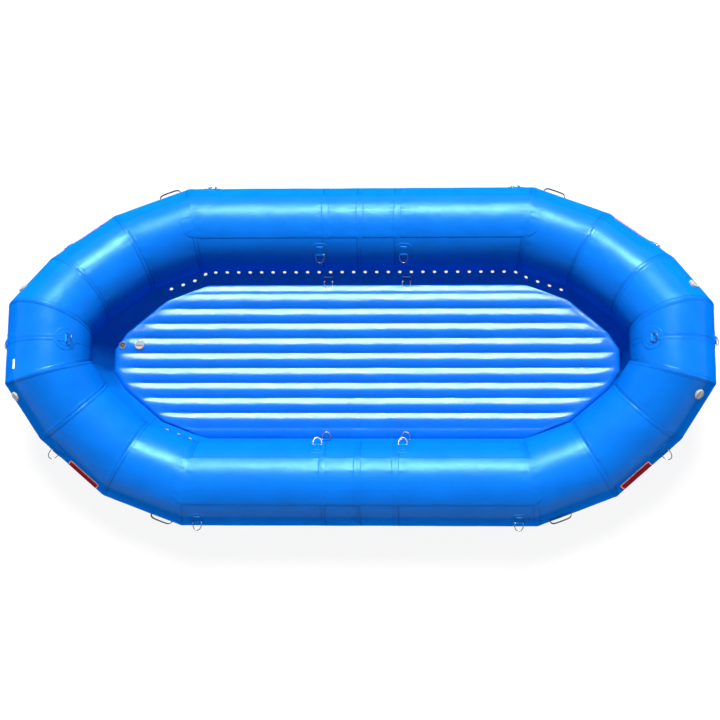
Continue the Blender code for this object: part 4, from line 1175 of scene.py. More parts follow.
# %% The ribbed floor: fitted
def inset_corners(inset):
    """The bow-port quarter's corners in plan, moved square to the tube towards the middle."""
    yaws = [0.0] + [math.radians(yaw) for _, _, yaw in BENDS] + [math.pi / 2]
    moved = []
    for point, before, after in zip(base, yaws, yaws[1:]):
        middle, reach = (before + after) / 2, inset / math.cos((after - before) / 2)
        moved.append(point[:2] - reach * np.array((math.sin(middle), math.cos(middle))))
    return np.array(moved)


def half_length_at(y, inset):
    corner = inset_corners(inset)[::-1]
    return np.interp(np.abs(y), corner[:, 1], corner[:, 0])


half_width = inset_corners(FLOOR_INSET)[0][1]
share = sheet_points[:, 0]
left = 1 - np.abs(share)
bent = np.sign(share) * (1 - left * (COLUMN_CROWDING[0] + COLUMN_CROWDING[1] * left))
y = np.clip(sheet_points[:, 1], -half_width, half_width)
reach = half_length_at(y, FLOOR_INSET)
x = bent * reach
side_gap, end_gap = half_width - np.abs(y), (reach - np.abs(x)) * END_SLANT
gap = np.minimum(side_gap, end_gap)
side_fall, end_fall = (1 - np.sqrt(1 - NEARLY_ROUND * np.clip(1 - off / radius, 0, 1) ** 2)
                       for off, radius in ((side_gap, SIDE_ROUND), (end_gap, END_ROUND)))
fall = np.maximum(side_fall, end_fall)
drop = np.maximum(SIDE_DROP * side_fall, END_DROP * end_fall)
full = np.clip(gap / RIB_RUN_OUT, 0, 1)
full = full * full * (3 - 2 * full)
rib = sheet_points[:, 2] * full + SMOOTH_LEVEL * (1 - full)
flat = np.stack([x, y, 0 * x], axis=1)
crumple = CRUMPLE * np.exp(-gap / CRUMPLE_RUN)
fold = FOLD * waves(flat, FOLD_SIZE, FOLD_SEED)
fold += crumple * waves(flat, CRUMPLE_SIZE, CRUMPLE_SEED)
top = FLOOR_TOP - RIB_DEPTH + rib * (1 - EDGE_RIB_FADE * fall) - drop
top += fold * (1 - fall) * (0.25 + 0.75 * rib / RIB_DEPTH)
foot = FLOOR_FOOT + (RIB_DEPTH - rib) * UNDER_RIB_SHARE + drop
upper = np.stack([x + FLOOR_SHIFT, y, top], axis=1)
under = np.stack([x + FLOOR_SHIFT, y, foot], axis=1)
faces = closed_slab(sheet_faces, len(upper))
floor = make_piece("ribbed_floor", np.vstack([upper, under]), faces, floor_fabric,
                   nodes=["floor_top_skin", "floor_beams"],
                   flat_map=np.vstack([flat[:, :2], flat[:, :2]]), sharp_deg=50)
light_as_floor(floor)
print("floor", round(2 * float(half_width), 3), "m wide, with", len(faces), "faces")

# %% [markdown]
# ## The bailing skirt
#
# One band of fabric is glued all round: its upper edge on the tube, low on the inboard side,
# and its lower edge on the floor. A narrow lap at each edge runs on over the tube and the
# floor, so that no light shows between them. A row of round holes in the band lets the water
# out. The holes repeat, so a node tree lays one square of fabric with a hole in it along a line
# and joins the squares, and the row is then laid on the slope between the two edges, with plain
# fabric above and below it. The band is thin, so it is a sheet that is thickened afterwards.

# %% The row of holes
HOLE_PITCH = 0.0722
HOLE_DIAMETER = 0.021
HOLE_COUNT = 35
HOLE_CENTRE_X = 0.023
ROW_HEIGHT = 0.028
TILE_STEPS = 8
HOLE_RIM = 1.14


def tile_host():
    """One square of the row, with its hole: an outer and an inner ring, and one between."""
    w, h = HOLE_PITCH / 2, ROW_HEIGHT / 2
    share = np.arange(TILE_STEPS) / TILE_STEPS * 2 - 1
    sides = [(share * w, share * 0 - h), (share * 0 + w, share * h), (-share * w, share * 0 + h),
             (share * 0 - w, -share * h)]
    outer = np.concatenate([np.stack(side, axis=1) for side in sides])
    count = len(outer)
    turns = (np.arange(count) / count * 2 + 1.25) * math.pi
    inner = np.stack([np.cos(turns), np.sin(turns)], axis=1) * HOLE_DIAMETER / 2
    near = inner * HOLE_RIM
    points = np.concatenate([outer, near, inner])
    points = np.column_stack([points, np.zeros(len(points))])
    host = blank_host()
    host.data.from_pydata([tuple(p) for p in points], [],
                          grid_faces(3, count, close_columns=True))
    return host


def row_tree():
    """Copies of a square along a line, joined into one sheet."""
    tree, given = start_tree("row_of_holes", "Square", {
        "Count": "Int", "Pitch": "Vector", "First": "Vector",
    }, "Row")
    line = feed(tree, "GeometryNodeMeshLine", {
        "Count": given["Count"], "Start Location": given["First"], "Offset": given["Pitch"],
    }, mode="OFFSET")
    copies = feed(tree, "GeometryNodeInstanceOnPoints",
                  {"Points": line, "Instance": given["Square"]})
    return end_tree(tree, given, copies, ("GeometryNodeMergeByDistance", {"Distance": 0.0001}))


first_x = HOLE_CENTRE_X - HOLE_PITCH * (HOLE_COUNT - 1) / 2
row = run_tree("row", tile_host(), row_tree(), {
    "Count": HOLE_COUNT, "Pitch": (HOLE_PITCH, 0.0, 0.0), "First": (first_x, 0.0, 0.0),
    "Finish": skirt_fabric,
})
row_points, row_faces = mesh_parts(row)
print("row of", HOLE_COUNT, "holes,", len(row_faces), "faces")

# %% The slope between tube and floor
SKIRT_CLOCK = math.radians(-106.875)
SKIRT_FLOOR_Z = 0.083
SKIRT_LAP = 0.006
SKIRT_LAP_Z = 0.0760
TUBE_LAP = 0.009
TUBE_LAP_SUNK = 0.002
SIDE_HOLE_DROP = 0.017
BEND_HOLE_DROP = 0.052
DROP_STARTS, DROP_RUN = 0.10, 0.13
SKIRT_THICKNESS = 0.0012
SKIRT_OFF_SKIN, SKIRT_OFF_FLOOR = 0.0008, 0.0003
SIDE_SLACK, BEND_SLACK, SLACK_FADE = 0.0016, 0.0030, 0.03
EVEN_SLACK, WRINKLED_SLACK = 0.6, 0.5
WRINKLES = ((1.0, 0.11, 31), (0.5, 0.045, 32))
STATION_STEP = 0.018
MAP_STEP = 0.05

outer_edge, inner_edge, lap_edge = [], [], []
for before, after in zip(ordered[-1:] + ordered[:-1], ordered):
    spot = [cell.start + limit * cell.along
            + (TUBE_RADIUS + SKIRT_OFF_SKIN) * cell.away(SKIRT_CLOCK)
            for cell, limit in ((before, before.limits(SKIRT_CLOCK)[1]),
                                (after, after.limits(SKIRT_CLOCK)[0]))]
    outer_edge.append((spot[0] + spot[1]) / 2)
for edge, inset, height in ((inner_edge, FLOOR_INSET - SKIRT_OFF_FLOOR, SKIRT_FLOOR_Z),
                            (lap_edge, FLOOR_INSET + SKIRT_LAP, SKIRT_LAP_Z)):
    plan = inset_corners(inset)
    for quarter, k, _ in corners:
        ahead, facing = QUARTERS[quarter]
        edge.append(np.array((plan[k][0] * ahead + FLOOR_SHIFT, plan[k][1] * facing, height)))


def slope_at(strip, share, end_edge=inner_edge):
    """The slope's two ends at a share along one strip: on the tube, and square to it below."""
    after = (strip + 1) % len(ordered)
    high = outer_edge[strip] + share * (outer_edge[after] - outer_edge[strip])
    run = inner_edge[after] - inner_edge[strip]
    near = np.clip((high - inner_edge[strip]) @ run / (run @ run), 0, 1)
    return high, end_edge[strip] + near * (end_edge[after] - end_edge[strip])


def strip_at(side, x):
    """The strip of one side that has a world x on its tube edge, and the share along it."""
    for name in (f"side_tube_{side}", f"bend_a_bow_{side}", f"bend_a_stern_{side}"):
        strip = ordered.index(cells[name])
        a, b = outer_edge[strip][0], outer_edge[(strip + 1) % len(ordered)][0]
        if min(a, b) <= x <= max(a, b):
            break
    return strip, (x - a) / (b - a)


def hole_drop(x):
    """How far down the slope the row's middle is: lower along the bends."""
    past = (abs(x) - SIDE_LENGTH / 2 + DROP_STARTS) / DROP_RUN
    past = min(max(past, 0.0), 1.0)
    return SIDE_HOLE_DROP + (BEND_HOLE_DROP - SIDE_HOLE_DROP) * past * past * (3 - 2 * past)


def slope_point(strip, share, level, centre):
    """A point of the band. Level -1 is the end of the lap on the tube, 0 the tube edge, 1 to 2
    the row of holes, 3 the floor's outline and 4 the end of the lap on the floor."""
    high, low = slope_at(strip, share)
    if level < 0:
        cell = ordered[strip]
        place = (high - cell.start) @ cell.along
        return cell.point(place, SKIRT_CLOCK + TUBE_LAP / TUBE_RADIUS, -TUBE_LAP_SUNK)
    if level > 3:
        return low + (level - 3) * (slope_at(strip, share, lap_edge)[1] - low)
    length = np.linalg.norm(low - high)
    stops = (0.0, centre - ROW_HEIGHT / 2, centre + ROW_HEIGHT / 2, length)
    down = np.interp(level, (0, 1, 2, 3), stops)
    after = (strip + 1) % len(ordered)
    along = unit(outer_edge[after] - outer_edge[strip])
    outward = unit(np.cross(low - high, along))
    point = high + (low - high) * down / length
    slack = SIDE_SLACK if ordered[strip].name.startswith("side") else BEND_SLACK
    fade = min(down / SLACK_FADE, (length - down) / SLACK_FADE, 1.0)
    wrinkle = sum(share * waves(point, size, seed) for share, size, seed in WRINKLES)
    return point - outward * slack * fade * (EVEN_SLACK + WRINKLED_SLACK * wrinkle)

# %% The bailing skirt
LEVELS = [-1.0, 0.0, 1.0] + [1 + k / TILE_STEPS for k in range(1, TILE_STEPS + 1)]
LEVELS += [2 + k / 6 for k in range(1, 7)] + [3.5, 4.0]
points, faces, maps = [], [], []


def add_columns(stations, levels):
    """Plain fabric: a grid over (strip, share, centre, distance) stations."""
    first = len(points)
    for strip, share, centre, distance in stations:
        for level in levels:
            points.append(slope_point(strip, share, level, centre))
            maps.append((distance, MAP_STEP * level))
    faces.extend(grid_faces(len(stations), len(levels), first=first))


last_x = first_x + HOLE_PITCH * (HOLE_COUNT - 1)
row_ends = {"bow": last_x + HOLE_PITCH / 2, "stern": first_x - HOLE_PITCH / 2}
for side in ("port", "starboard"):
    first = len(points)
    for x, across, _ in row_points:
        strip, share = strip_at(side, x)
        level = 1.5 + across / ROW_HEIGHT
        points.append(slope_point(strip, share, level, hole_drop(x)))
        maps.append((x, MAP_STEP * level))
    faces.extend(tuple(n + first for n in face) for face in row_faces)
    stations = []
    for k in range(HOLE_COUNT * TILE_STEPS + 1):
        x = row_ends["stern"] + HOLE_PITCH * k / TILE_STEPS
        stations.append((*strip_at(side, x), hole_drop(x), x))
    add_columns(stations, LEVELS[:3])
    add_columns(stations, [2.0] + LEVELS[-8:])
for end in ("bow", "stern"):
    start_side, end_side = ("port", "starboard") if end == "bow" else ("starboard", "port")
    strip, share = strip_at(start_side, row_ends[end])
    last_strip, last_share = strip_at(end_side, row_ends[end])
    stations, distance = [], 0.0
    while True:
        stop = last_share if strip == last_strip else 1.0
        steps = max(2, int((stop - share) * ordered[strip].length / STATION_STEP))
        for k in range(steps):
            place = share + (stop - share) * k / steps
            stations.append((strip, place, BEND_HOLE_DROP, distance))
            distance += STATION_STEP
        if strip == last_strip:
            break
        strip, share = (strip + 1) % len(ordered), 0.0
    stations.append((last_strip, last_share, BEND_HOLE_DROP, distance))
    add_columns(stations, LEVELS)
skirt = make_piece("bailing_band", points, faces, skirt_fabric, nodes=["bailing_skirt"],
                   flat_map=maps, sharp_deg=50)
bulk = bmesh.new()
bulk.from_mesh(skirt.data)
bmesh.ops.remove_doubles(bulk, verts=bulk.verts, dist=0.0004)
bmesh.ops.dissolve_degenerate(bulk, edges=bulk.edges, dist=0.0001)
bmesh.ops.recalc_face_normals(bulk, faces=bulk.faces)
if sum(face.normal.z * face.calc_area() for face in bulk.faces) < 0:
    bmesh.ops.reverse_faces(bulk, faces=bulk.faces)
skirt_area = sum(face.calc_area() for face in bulk.faces)
bulk.to_mesh(skirt.data)
bulk.free()
thicken = skirt.modifiers.new("thickness", "SOLIDIFY")
thicken.thickness = SKIRT_THICKNESS
thicken.offset = -1.0

# %% [markdown]
# ## Turned pieces
#
# Valves, caps and their insides are turned, so a profile of radius and height is carried round
# an axis. Real mouldings have no sharp corners: every corner of a profile is replaced by a
# short arc before it is turned.

# %% Turned pieces
TURN_STEPS = 64


def soften(profile, size=0.0008):
    """The profile with each corner off the axis replaced by a small arc."""
    points = [np.array(p, float) for p in profile]
    closed = points[0][0] > 0
    count = len(points)
    result = []
    for k, point in enumerate(points):
        if not closed and k in (0, count - 1):
            result.append(point)
            continue
        before, after = points[k - 1] - point, points[(k + 1) % count] - point
        cut = min(size, 0.45 * np.linalg.norm(before), 0.45 * np.linalg.norm(after))
        start, end = point + unit(before) * cut, point + unit(after) * cut
        for t in (0.0, 0.33, 0.67, 1.0):
            result.append((1 - t) ** 2 * start + 2 * t * (1 - t) * point + t * t * end)
    return np.array(result)


def axis_frame(origin, x_axis, z_axis):
    """A matrix whose origin is on a piece's axis and whose z runs along it."""
    y_axis = np.cross(z_axis, x_axis)
    turn = Matrix((Vector(x_axis), Vector(y_axis), Vector(z_axis))).transposed().to_4x4()
    return Matrix.Translation(Vector(origin)) @ turn


def lathe(name, profile, place, material, body="raft", nodes=(), size=0.0008):
    """A closed turned piece. The profile runs from the axis below, outwards and up to the axis
    above, or closes on itself the other way round where it never meets the axis."""
    outline = soften(profile, size)
    open_ended = outline[0][0] > 0
    body_rows = outline if open_ended else outline[1:-1]
    points = [(r * math.cos(t), r * math.sin(t), z)
              for r, z in body_rows for t in full_turn(TURN_STEPS)]
    faces = grid_faces(len(body_rows), TURN_STEPS, open_ended, True)
    if not open_ended:
        low, last = len(points), (len(body_rows) - 1) * TURN_STEPS
        points += [(0, 0, outline[0][1]), (0, 0, outline[-1][1])]
        faces = flipped(faces + fan(low, 0, TURN_STEPS)) + fan(low + 1, last, TURN_STEPS)
    piece = make_piece(name, points, faces, material, body=body, nodes=nodes, sharp_deg=35)
    piece.data.transform(place)
    return piece


def rim_tree():
    """Small upright ridges, evenly round a rim."""
    tree, given = start_tree("ridged_rim", "Start", {
        "Rim Radius": "Float", "Count": "Int", "Ridge Radius": "Float",
        "Ridge Height": "Float", "Middle": "Vector",
    }, "Rim")
    circle = feed(tree, "GeometryNodeMeshCircle",
                  {"Vertices": given["Count"], "Radius": given["Rim Radius"]})
    ridge = feed(tree, "GeometryNodeMeshCylinder", {
        "Vertices": 8, "Radius": given["Ridge Radius"], "Depth": given["Ridge Height"],
    }, "Mesh")
    copies = feed(tree, "GeometryNodeInstanceOnPoints", {"Points": circle, "Instance": ridge})
    shift = feed(tree, "GeometryNodeTransform",
                 {"Geometry": copies, "Translation": given["Middle"]})
    return end_tree(tree, given, shift, SMOOTH)


rim = rim_tree()
print("lathe and rim ready")

# %% [markdown]
# ## Inflation valves
#
# Each valve is a flanged body welded into the skin, a spring poppet inside it and a screw cap
# with a raised grip. The skin has a real opening under each one, so that when the cap is off,
# one sees into the valve and not onto fabric. The opening is cut with a Boolean whose cutter is
# removed again.

# %% Sizes of the valves
FLANGE_RADIUS = 0.031
FLANGE_THICKNESS = 0.005
BARREL_RADIUS = 0.021
BORE_RADIUS = 0.017
BARREL_DEPTH = 0.038
SEAT_DEPTH = 0.020
SEAT_THICKNESS = 0.003
SEAT_HOLE_RADIUS = 0.008
CAP_RADIUS = 0.029
CAP_HEIGHT = 0.011
CLEARANCE = 0.0003
VALVE_RECESS = 0.0025
VALVE_ALONG = {"port": 0.250, "starboard": 0.273}
VALVE_CLOCK_DEG = {"bow": 52.0, "stern": 65.0}
RELIEF_FLANGE_RADIUS = 0.023
RELIEF_BORE_RADIUS = 0.015
RELIEF_BARREL_RADIUS = 0.018
RELIEF_DEPTH = 0.020
RELIEF_SPOKE_FOOT = 0.002
RELIEF_LIP_RADIUS, RELIEF_LIP = 0.011, 0.003
RELIEF_DISC_RADIUS, RELIEF_DISC = 0.014, 0.004
RELIEF_STEM_ROOM = 0.003
RELIEF_HUB_RADIUS, RELIEF_HUB_TOP = 0.0055, 0.0054
RELIEF_SPOKE = (0.037, 0.003, 0.0006)
POPPET_RADIUS, STEM_RADIUS, BUTTON_RADIUS = 0.013, 0.004, 0.0065
POPPET_PLATE = 0.003
BUTTON_TOP = -0.006
CAP_BEVEL, CAP_RIM, CAP_DISH_EDGE, CAP_DISH = 0.0028, 0.0048, 0.0056, 0.0009
PLUG_GAP, PLUG_DEPTH = 0.0006, 0.003
RIDGE_COUNT, RIDGE_RADIUS, RIDGE_HEIGHT = 36, 0.0011, 0.0066
GRIP = (0.040, 0.007, 0.0034)
GRIP_HEIGHT = 0.0048
CUT_SIDES = 48
CUT_ABOVE = 0.02
CUT_GAP = 0.0006
TUBE_CUT, FLOOR_CUT = 0.05, 0.045
FLOOR_VALVE_RISE = 0.001
FLOOR_VALVE_FROM_END, RELIEF_FROM_END = 0.1425, 0.0355
BOOT_GAP, BOOT_LIP, BOOT_DEPTH = 0.0005, 0.003, 0.012
BOOT_SHOULDER = (0.0022, 0.0024)


def cut_opening(target, place, radius, depth):
    """Cut a round opening in a closed piece, and keep the result as its mesh."""
    radius += CUT_GAP
    points = [(radius * math.cos(t), radius * math.sin(t), z)
              for z in (-depth, CUT_ABOVE) for t in full_turn(CUT_SIDES)]
    tool = bpy.data.meshes.new("opening")
    ends = [tuple(range(CUT_SIDES))[::-1], tuple(range(CUT_SIDES, 2 * CUT_SIDES))]
    faces = flipped(grid_faces(2, CUT_SIDES, close_columns=True)) + ends
    tool.from_pydata(points, [], faces)
    tool.transform(place)
    cutter = place_object("opening", tool)
    cut = target.modifiers.new("opening", "BOOLEAN")
    cut.operation, cut.object, cut.solver = "DIFFERENCE", cutter, "EXACT"
    mesh = applied(target)
    target.modifiers.remove(cut)
    target.data = mesh
    bpy.data.objects.remove(cutter)

# %% Inflation valves
def make_valve(suffix, place):
    b, c = BARREL_RADIUS, CAP_RADIUS
    seat_foot = -SEAT_DEPTH - SEAT_THICKNESS
    profile = [
        (SEAT_HOLE_RADIUS, -SEAT_DEPTH), (BORE_RADIUS, -SEAT_DEPTH),
        (BORE_RADIUS, FLANGE_THICKNESS), (FLANGE_RADIUS, FLANGE_THICKNESS),
        (FLANGE_RADIUS, 0), (b, 0), (b, -BARREL_DEPTH), (BORE_RADIUS, -BARREL_DEPTH),
        (BORE_RADIUS, seat_foot), (SEAT_HOLE_RADIUS, seat_foot),
    ]
    lathe(f"shown_valve_body_{suffix}", profile, place, grey_plastic,
          nodes=[f"valve_body_{suffix}"])
    head, stem, button = POPPET_RADIUS, STEM_RADIUS, BUTTON_RADIUS
    top, foot = BUTTON_TOP, seat_foot - CLEARANCE
    poppet = [
        (0, foot - POPPET_PLATE), (head, foot - POPPET_PLATE), (head, foot), (stem, foot),
        (stem, top - POPPET_PLATE), (button, top - POPPET_PLATE), (button, top), (0, top),
    ]
    lathe(f"shown_valve_poppet_{suffix}", poppet, place, dark_plastic,
          body=f"valve_poppet_{suffix}", nodes=[f"valve_poppet_{suffix}"], size=0.0004)
    low = FLANGE_THICKNESS + CLEARANCE
    high, plug_radius = low + CAP_HEIGHT, BORE_RADIUS - PLUG_GAP
    cap = [
        (0, FLANGE_THICKNESS - PLUG_DEPTH), (plug_radius, FLANGE_THICKNESS - PLUG_DEPTH),
        (plug_radius, low), (c, low), (c, high - CAP_BEVEL), (c - CAP_BEVEL, high),
        (c - CAP_RIM, high), (c - CAP_DISH_EDGE, high - CAP_DISH), (0, high - CAP_DISH),
    ]
    lathe(f"shown_valve_cap_{suffix}", cap, place, pale_plastic,
          body=f"valve_cap_{suffix}", nodes=[f"valve_cap_{suffix}"])
    ridges = run_tree(f"cap_ridges_{suffix}", blank_host(), rim, {
        "Rim Radius": c - CLEARANCE, "Count": RIDGE_COUNT, "Ridge Radius": RIDGE_RADIUS,
        "Ridge Height": RIDGE_HEIGHT, "Middle": (0.0, 0.0, low + 0.0042), "Finish": pale_plastic,
    })
    ridges.data.transform(place)
    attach(ridges, f"valve_cap_{suffix}")
    grip = patch(f"cap_grip_{suffix}", own_plane, round_rectangle(*GRIP, 8, 0.003),
                 GRIP_HEIGHT, pale_plastic, base=high - CAP_DISH, edge=0.0010,
                 sunk=0.002 - high, body=f"valve_cap_{suffix}")
    grip.data.transform(place)


for quarter in QUARTERS:
    end, side = quarter.split("_")
    cell = cells[f"bend_c_{quarter}"]
    along = from_side_end(cell, quarter, VALVE_ALONG[side])
    clock = math.radians(VALVE_CLOCK_DEG[end])
    outward = cell.away(clock)
    origin = cell.start + along * cell.along + (TUBE_RADIUS - VALVE_RECESS) * outward
    place = axis_frame(origin, cell.along, outward)
    cut_opening(bpy.data.objects[f"skin_bend_c_{quarter}"], place, BARREL_RADIUS, TUBE_CUT)
    make_valve(quarter, place)

floor_fit_z = FLOOR_TOP + FLOOR_VALVE_RISE + CLEARANCE
floor_end_x = FLOOR_SHIFT - half_length_at(RIB_PITCH, FLOOR_INSET)
valve_x = floor_end_x + FLOOR_VALVE_FROM_END
floor_place = axis_frame((valve_x, RIB_PITCH, floor_fit_z), (1, 0, 0), (0, 0, 1))
make_valve("floor", floor_place)
print("5 inflation valves")

# %% Relief valve
relief_x = floor_end_x + RELIEF_FROM_END
relief_place = axis_frame((relief_x, RIB_PITCH, floor_fit_z), (1, 0, 0), (0, 0, 1))
lip, lip_top = RELIEF_LIP_RADIUS, RELIEF_LIP - RELIEF_DEPTH
relief_profile = [
    (lip, -RELIEF_DEPTH), (lip, lip_top), (RELIEF_BORE_RADIUS, lip_top),
    (RELIEF_BORE_RADIUS, FLANGE_THICKNESS), (RELIEF_FLANGE_RADIUS, FLANGE_THICKNESS),
    (RELIEF_FLANGE_RADIUS, 0), (RELIEF_BARREL_RADIUS, 0), (RELIEF_BARREL_RADIUS, -RELIEF_DEPTH),
]
lathe("shown_relief_valve_body", relief_profile, relief_place, grey_plastic,
      nodes=["relief_valve_body"])
for k in range(3):
    spoke_place = relief_place @ Matrix.Rotation(math.pi * k / 3, 4, "Z")
    spoke = patch(f"relief_spoke_{k}", own_plane, round_rectangle(*RELIEF_SPOKE, 3, 0.004),
                  0.0028, grey_plastic, base=RELIEF_SPOKE_FOOT, edge=0.0005,
                  sunk=-RELIEF_SPOKE_FOOT)
    spoke.data.transform(spoke_place)
hub = [(0, RELIEF_SPOKE_FOOT), (RELIEF_HUB_RADIUS, RELIEF_SPOKE_FOOT),
       (RELIEF_HUB_RADIUS, RELIEF_HUB_TOP), (0, RELIEF_HUB_TOP)]
lathe("relief_hub", hub, relief_place, pale_plastic, size=0.0006)
disc_foot = lip_top + CLEARANCE
disc_top = disc_foot + RELIEF_DISC
stem_top = RELIEF_SPOKE_FOOT - RELIEF_STEM_ROOM - CLEARANCE
relief_disc = [(0, disc_foot), (RELIEF_DISC_RADIUS, disc_foot), (RELIEF_DISC_RADIUS, disc_top),
               (STEM_RADIUS, disc_top), (STEM_RADIUS, stem_top), (0, stem_top)]
lathe("shown_relief_valve_disc", relief_disc, relief_place, dark_plastic,
      body="relief_valve_disc", nodes=["relief_valve_disc"], size=0.0004)
for tag, place, radius, opening in (("valve", floor_place, FLANGE_RADIUS, BARREL_RADIUS),
                                    ("relief", relief_place, RELIEF_FLANGE_RADIUS,
                                     RELIEF_BARREL_RADIUS)):
    near, far = opening + BOOT_GAP, radius + BOOT_LIP
    boot = [(near, -BOOT_DEPTH), (far, -BOOT_DEPTH), (far, -BOOT_SHOULDER[1]),
            (radius + BOOT_SHOULDER[0], -CLEARANCE), (near, -CLEARANCE)]
    ring = lathe(f"floor_boot_{tag}", boot, place, floor_fabric, size=0.0006)
    light_as_floor(ring)
    cut_opening(floor, place, opening, FLOOR_CUT)
print("relief valve and two boots")

# %% [markdown]
# ## Carry handles
#
# A handle is a loop of webbing, stiff enough to stand off the tube. Its line is a flattened
# arch with square shoulders, a superellipse, which ends in two short feet on the skin. The
# webbing's section, a rectangle with soft edges, is carried along it.

# %% Carry handles
HANDLE_SPAN = 0.130
HANDLE_STAND = 0.030
HANDLE_FOOT = 0.012
WEBBING_THICKNESS = 0.004
WEBBING_WIDTH = 0.025
HANDLE_ALONG = {"bow_port": 0.084, "bow_starboard": 0.097,
                "stern_port": 0.082, "stern_starboard": 0.090}
HANDLE_CLOCK_DEG = 84.375
LOW_HANDLE_CLOCK_DEG = 106.875
ARCH_STEPS = 49
ARCH_POWERS = (0.42, 0.75)
WEBBING_EDGE = 0.0007
HANDLE_GAP = 0.0008


def handle_line():
    """The webbing's middle line: x along the tube, y off it."""
    low = WEBBING_THICKNESS / 2
    half, rise = HANDLE_SPAN / 2 + low, HANDLE_STAND - WEBBING_THICKNESS
    turns = np.linspace(0, math.pi, ARCH_STEPS)
    x = half * np.sign(np.cos(turns)) * np.abs(np.cos(turns)) ** ARCH_POWERS[0]
    y = low + rise * np.sin(turns) ** ARCH_POWERS[1]
    foot = np.array([(half + HANDLE_FOOT, low), (half + HANDLE_FOOT / 2, low)])
    arch = np.column_stack([x, y])
    return np.concatenate([foot, arch, foot[::-1] * (-1, 1)])


def make_handle(quarter):
    cell = cells[f"bend_a_{quarter}"]
    middle = from_side_end(cell, quarter, HANDLE_ALONG[quarter])
    low = quarter == "stern_starboard"
    clock = math.radians(LOW_HANDLE_CLOCK_DEG if low else HANDLE_CLOCK_DEG)
    outward = cell.away(clock)
    across = np.cross(outward, cell.along)
    skin = cell.start + middle * cell.along + (TUBE_RADIUS + HANDLE_GAP) * outward
    line = handle_line()
    headings = np.gradient(line, axis=0)
    headings /= np.linalg.norm(headings, axis=1)[:, None]
    w, t, e = WEBBING_WIDTH / 2, WEBBING_THICKNESS / 2 - 0.0001, WEBBING_EDGE
    section = [(w, -t + e), (w, t - e), (w - e, t), (-w + e, t), (-w, t - e), (-w, -t + e),
               (-w + e, -t), (w - e, -t)]
    points, maps, run = [], [], 0.0
    for k, ((x, y), (hx, hy)) in enumerate(zip(line, headings)):
        run += np.linalg.norm(line[k] - line[k - 1]) if k else 0.0
        normal = -hy * cell.along + hx * outward
        for u, v in section:
            points.append(skin + x * cell.along + y * outward + u * across - v * normal)
            maps.append((run, u))
    count, last = len(section), (len(line) - 1) * len(section)
    faces = grid_faces(len(line), count, close_columns=True)
    faces += [tuple(range(count - 1, -1, -1)), tuple(last + j for j in range(count))]
    return make_piece(f"shown_handle_{quarter}", points, faces, handle_webbing,
                      nodes=[f"handle_{quarter}"], flat_map=maps, sharp_deg=50)


for quarter in QUARTERS:
    make_handle(quarter)
print("4 handles")

# %% [markdown]
# ## Rings over the floor's edge
#
# Four more rings sit on the skirt, two a side, just above the floor's edge. Their pads lie on
# the slope, and the rings lie level, pointing inboard.

# %% Rings over the floor's edge
FLOOR_RING_CENTRE_X = 0.035
FLOOR_RING_HALF_PITCH = 0.245
FLOOR_RING_ABOVE_EDGE = 0.030
FLOOR_PAD = (0.066, 0.042, 0.008)
FLOOR_PAD_SHIFT = 0.009
FLOOR_PAD_RISE = 0.0040
FLOOR_STRAP_LENGTH, FLOOR_STRAP_SHIFT = 0.026, 0.016

for quarter, (ahead, facing) in QUARTERS.items():
    side = quarter.split("_")[1]
    x = FLOOR_RING_CENTRE_X + ahead * FLOOR_RING_HALF_PITCH
    high, low = slope_at(*strip_at(side, x))
    down = unit(low - high)
    along = np.array((facing, 0.0, 0.0))
    outward = unit(np.cross(along, -down))
    origin = low - FLOOR_RING_ABOVE_EDGE * down
    surface = on_plane(origin, along, -down, outward)
    pad = round_rectangle(*FLOOR_PAD, spacing=0.008) + (0, FLOOR_PAD_SHIFT)
    patch(f"patch_floor_{quarter}", surface, pad, FLOOR_PAD_RISE, patch_fabric, sunk=0.002)
    strap = round_rectangle(STRAP_WIDTH, FLOOR_STRAP_LENGTH, STRAP_CORNER, 3, 0.006)
    patch(f"strap_floor_{quarter}", surface, strap + (0, FLOOR_STRAP_SHIFT), STRAP_THICKNESS,
          patch_fabric,
          base=FLOOR_PAD_RISE - 0.001, edge=0.0018)
    bar = origin + (FLOOR_PAD_RISE + LOOP_RADIUS - LOOP_SUNK) * outward
    make_loop(f"loop_floor_{quarter}", bar, along, -down, outward, 1, patch_fabric)
    make_ring(f"ring_floor_{quarter}", bar, along, np.array((0.0, -facing, 0.0)))
print("4 rings over the floor's edge")

# %% [markdown]
# ## Name patches and the tag
#
# In the photograph four red patches with a pale border sit on the outboard side of the middle
# bends. What was written on them is left out, so they are bare. A small white tag sits on the
# stern. The border is drawn by the shader, from the distance to the patch's edge.

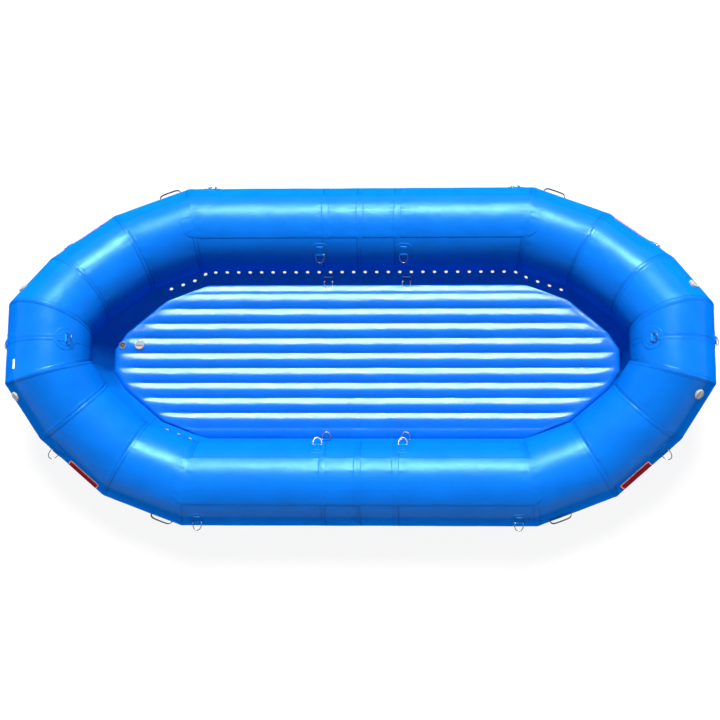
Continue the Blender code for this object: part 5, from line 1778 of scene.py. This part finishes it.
# %% Name patches and the tag
NAME_LENGTH = 0.225
NAME_HEIGHT = 0.105
NAME_FROM_SIDE = 0.128
NAME_CORNER = 0.008
NAME_THICKNESS = 0.0012
NAME_CLOCK_DEG = 76.0
TAG = (0.060, 0.016, 0.002)
TAG_THICKNESS = 0.0008
TAG_Y = -0.151
TAG_CLOCK_DEG = 42.0


def bordered(name, inside, border, width_share, height_share):
    """A plain colour with a border, whose widths are shares of the patch's sides."""
    material, tree, shader = new_material(name, inside, 0.45)
    fade_gloss(tree, shader, 0.15)
    place = add_node(tree, "ShaderNodeTexCoord")
    split = add_node(tree, "ShaderNodeSeparateXYZ", {0: place.outputs["UV"]})
    within = []
    for axis, share in (("X", width_share), ("Y", height_share)):
        off = calc(tree, "ABSOLUTE", calc(tree, "SUBTRACT", split.outputs[axis], 0.5))
        within.append(calc(tree, "LESS_THAN", off, 0.5 - share))
    plug(shader, {
        "Base Color": mixed(tree, calc(tree, "MULTIPLY", *within), (*border, 1), inside),
        "Roughness": span(tree, noise(tree, place.outputs["Object"], 40.0, 5.0), 0.36, 0.56),
    })
    return material


red_patch = bordered("red_patch", (0.17, 0.010, 0.020), (0.70, 0.22, 0.12), 0.028, 0.085)
white_tag = bordered("white_tag", (0.86, 0.88, 0.88), (0.70, 0.76, 0.80), 0.02, 0.05)
for quarter in QUARTERS:
    cell = cells[f"bend_b_{quarter}"]
    middle = from_side_end(cell, quarter, NAME_FROM_SIDE)
    outline = round_rectangle(NAME_LENGTH, NAME_HEIGHT, NAME_CORNER, 4)
    patch(f"name_patch_{quarter}", on_cell(cell, middle, math.radians(NAME_CLOCK_DEG)), outline,
          NAME_THICKNESS, red_patch, unit_map=True)
stern = cells["end_tube_stern"]
tag_place = (np.array((0, TAG_Y, 0)) - stern.start) @ stern.along
patch("white_tag", on_cell(stern, tag_place, math.radians(TAG_CLOCK_DEG)),
      round_rectangle(*TAG, 3, 0.006), TAG_THICKNESS, white_tag, unit_map=True)
print("4 name patches and a tag")
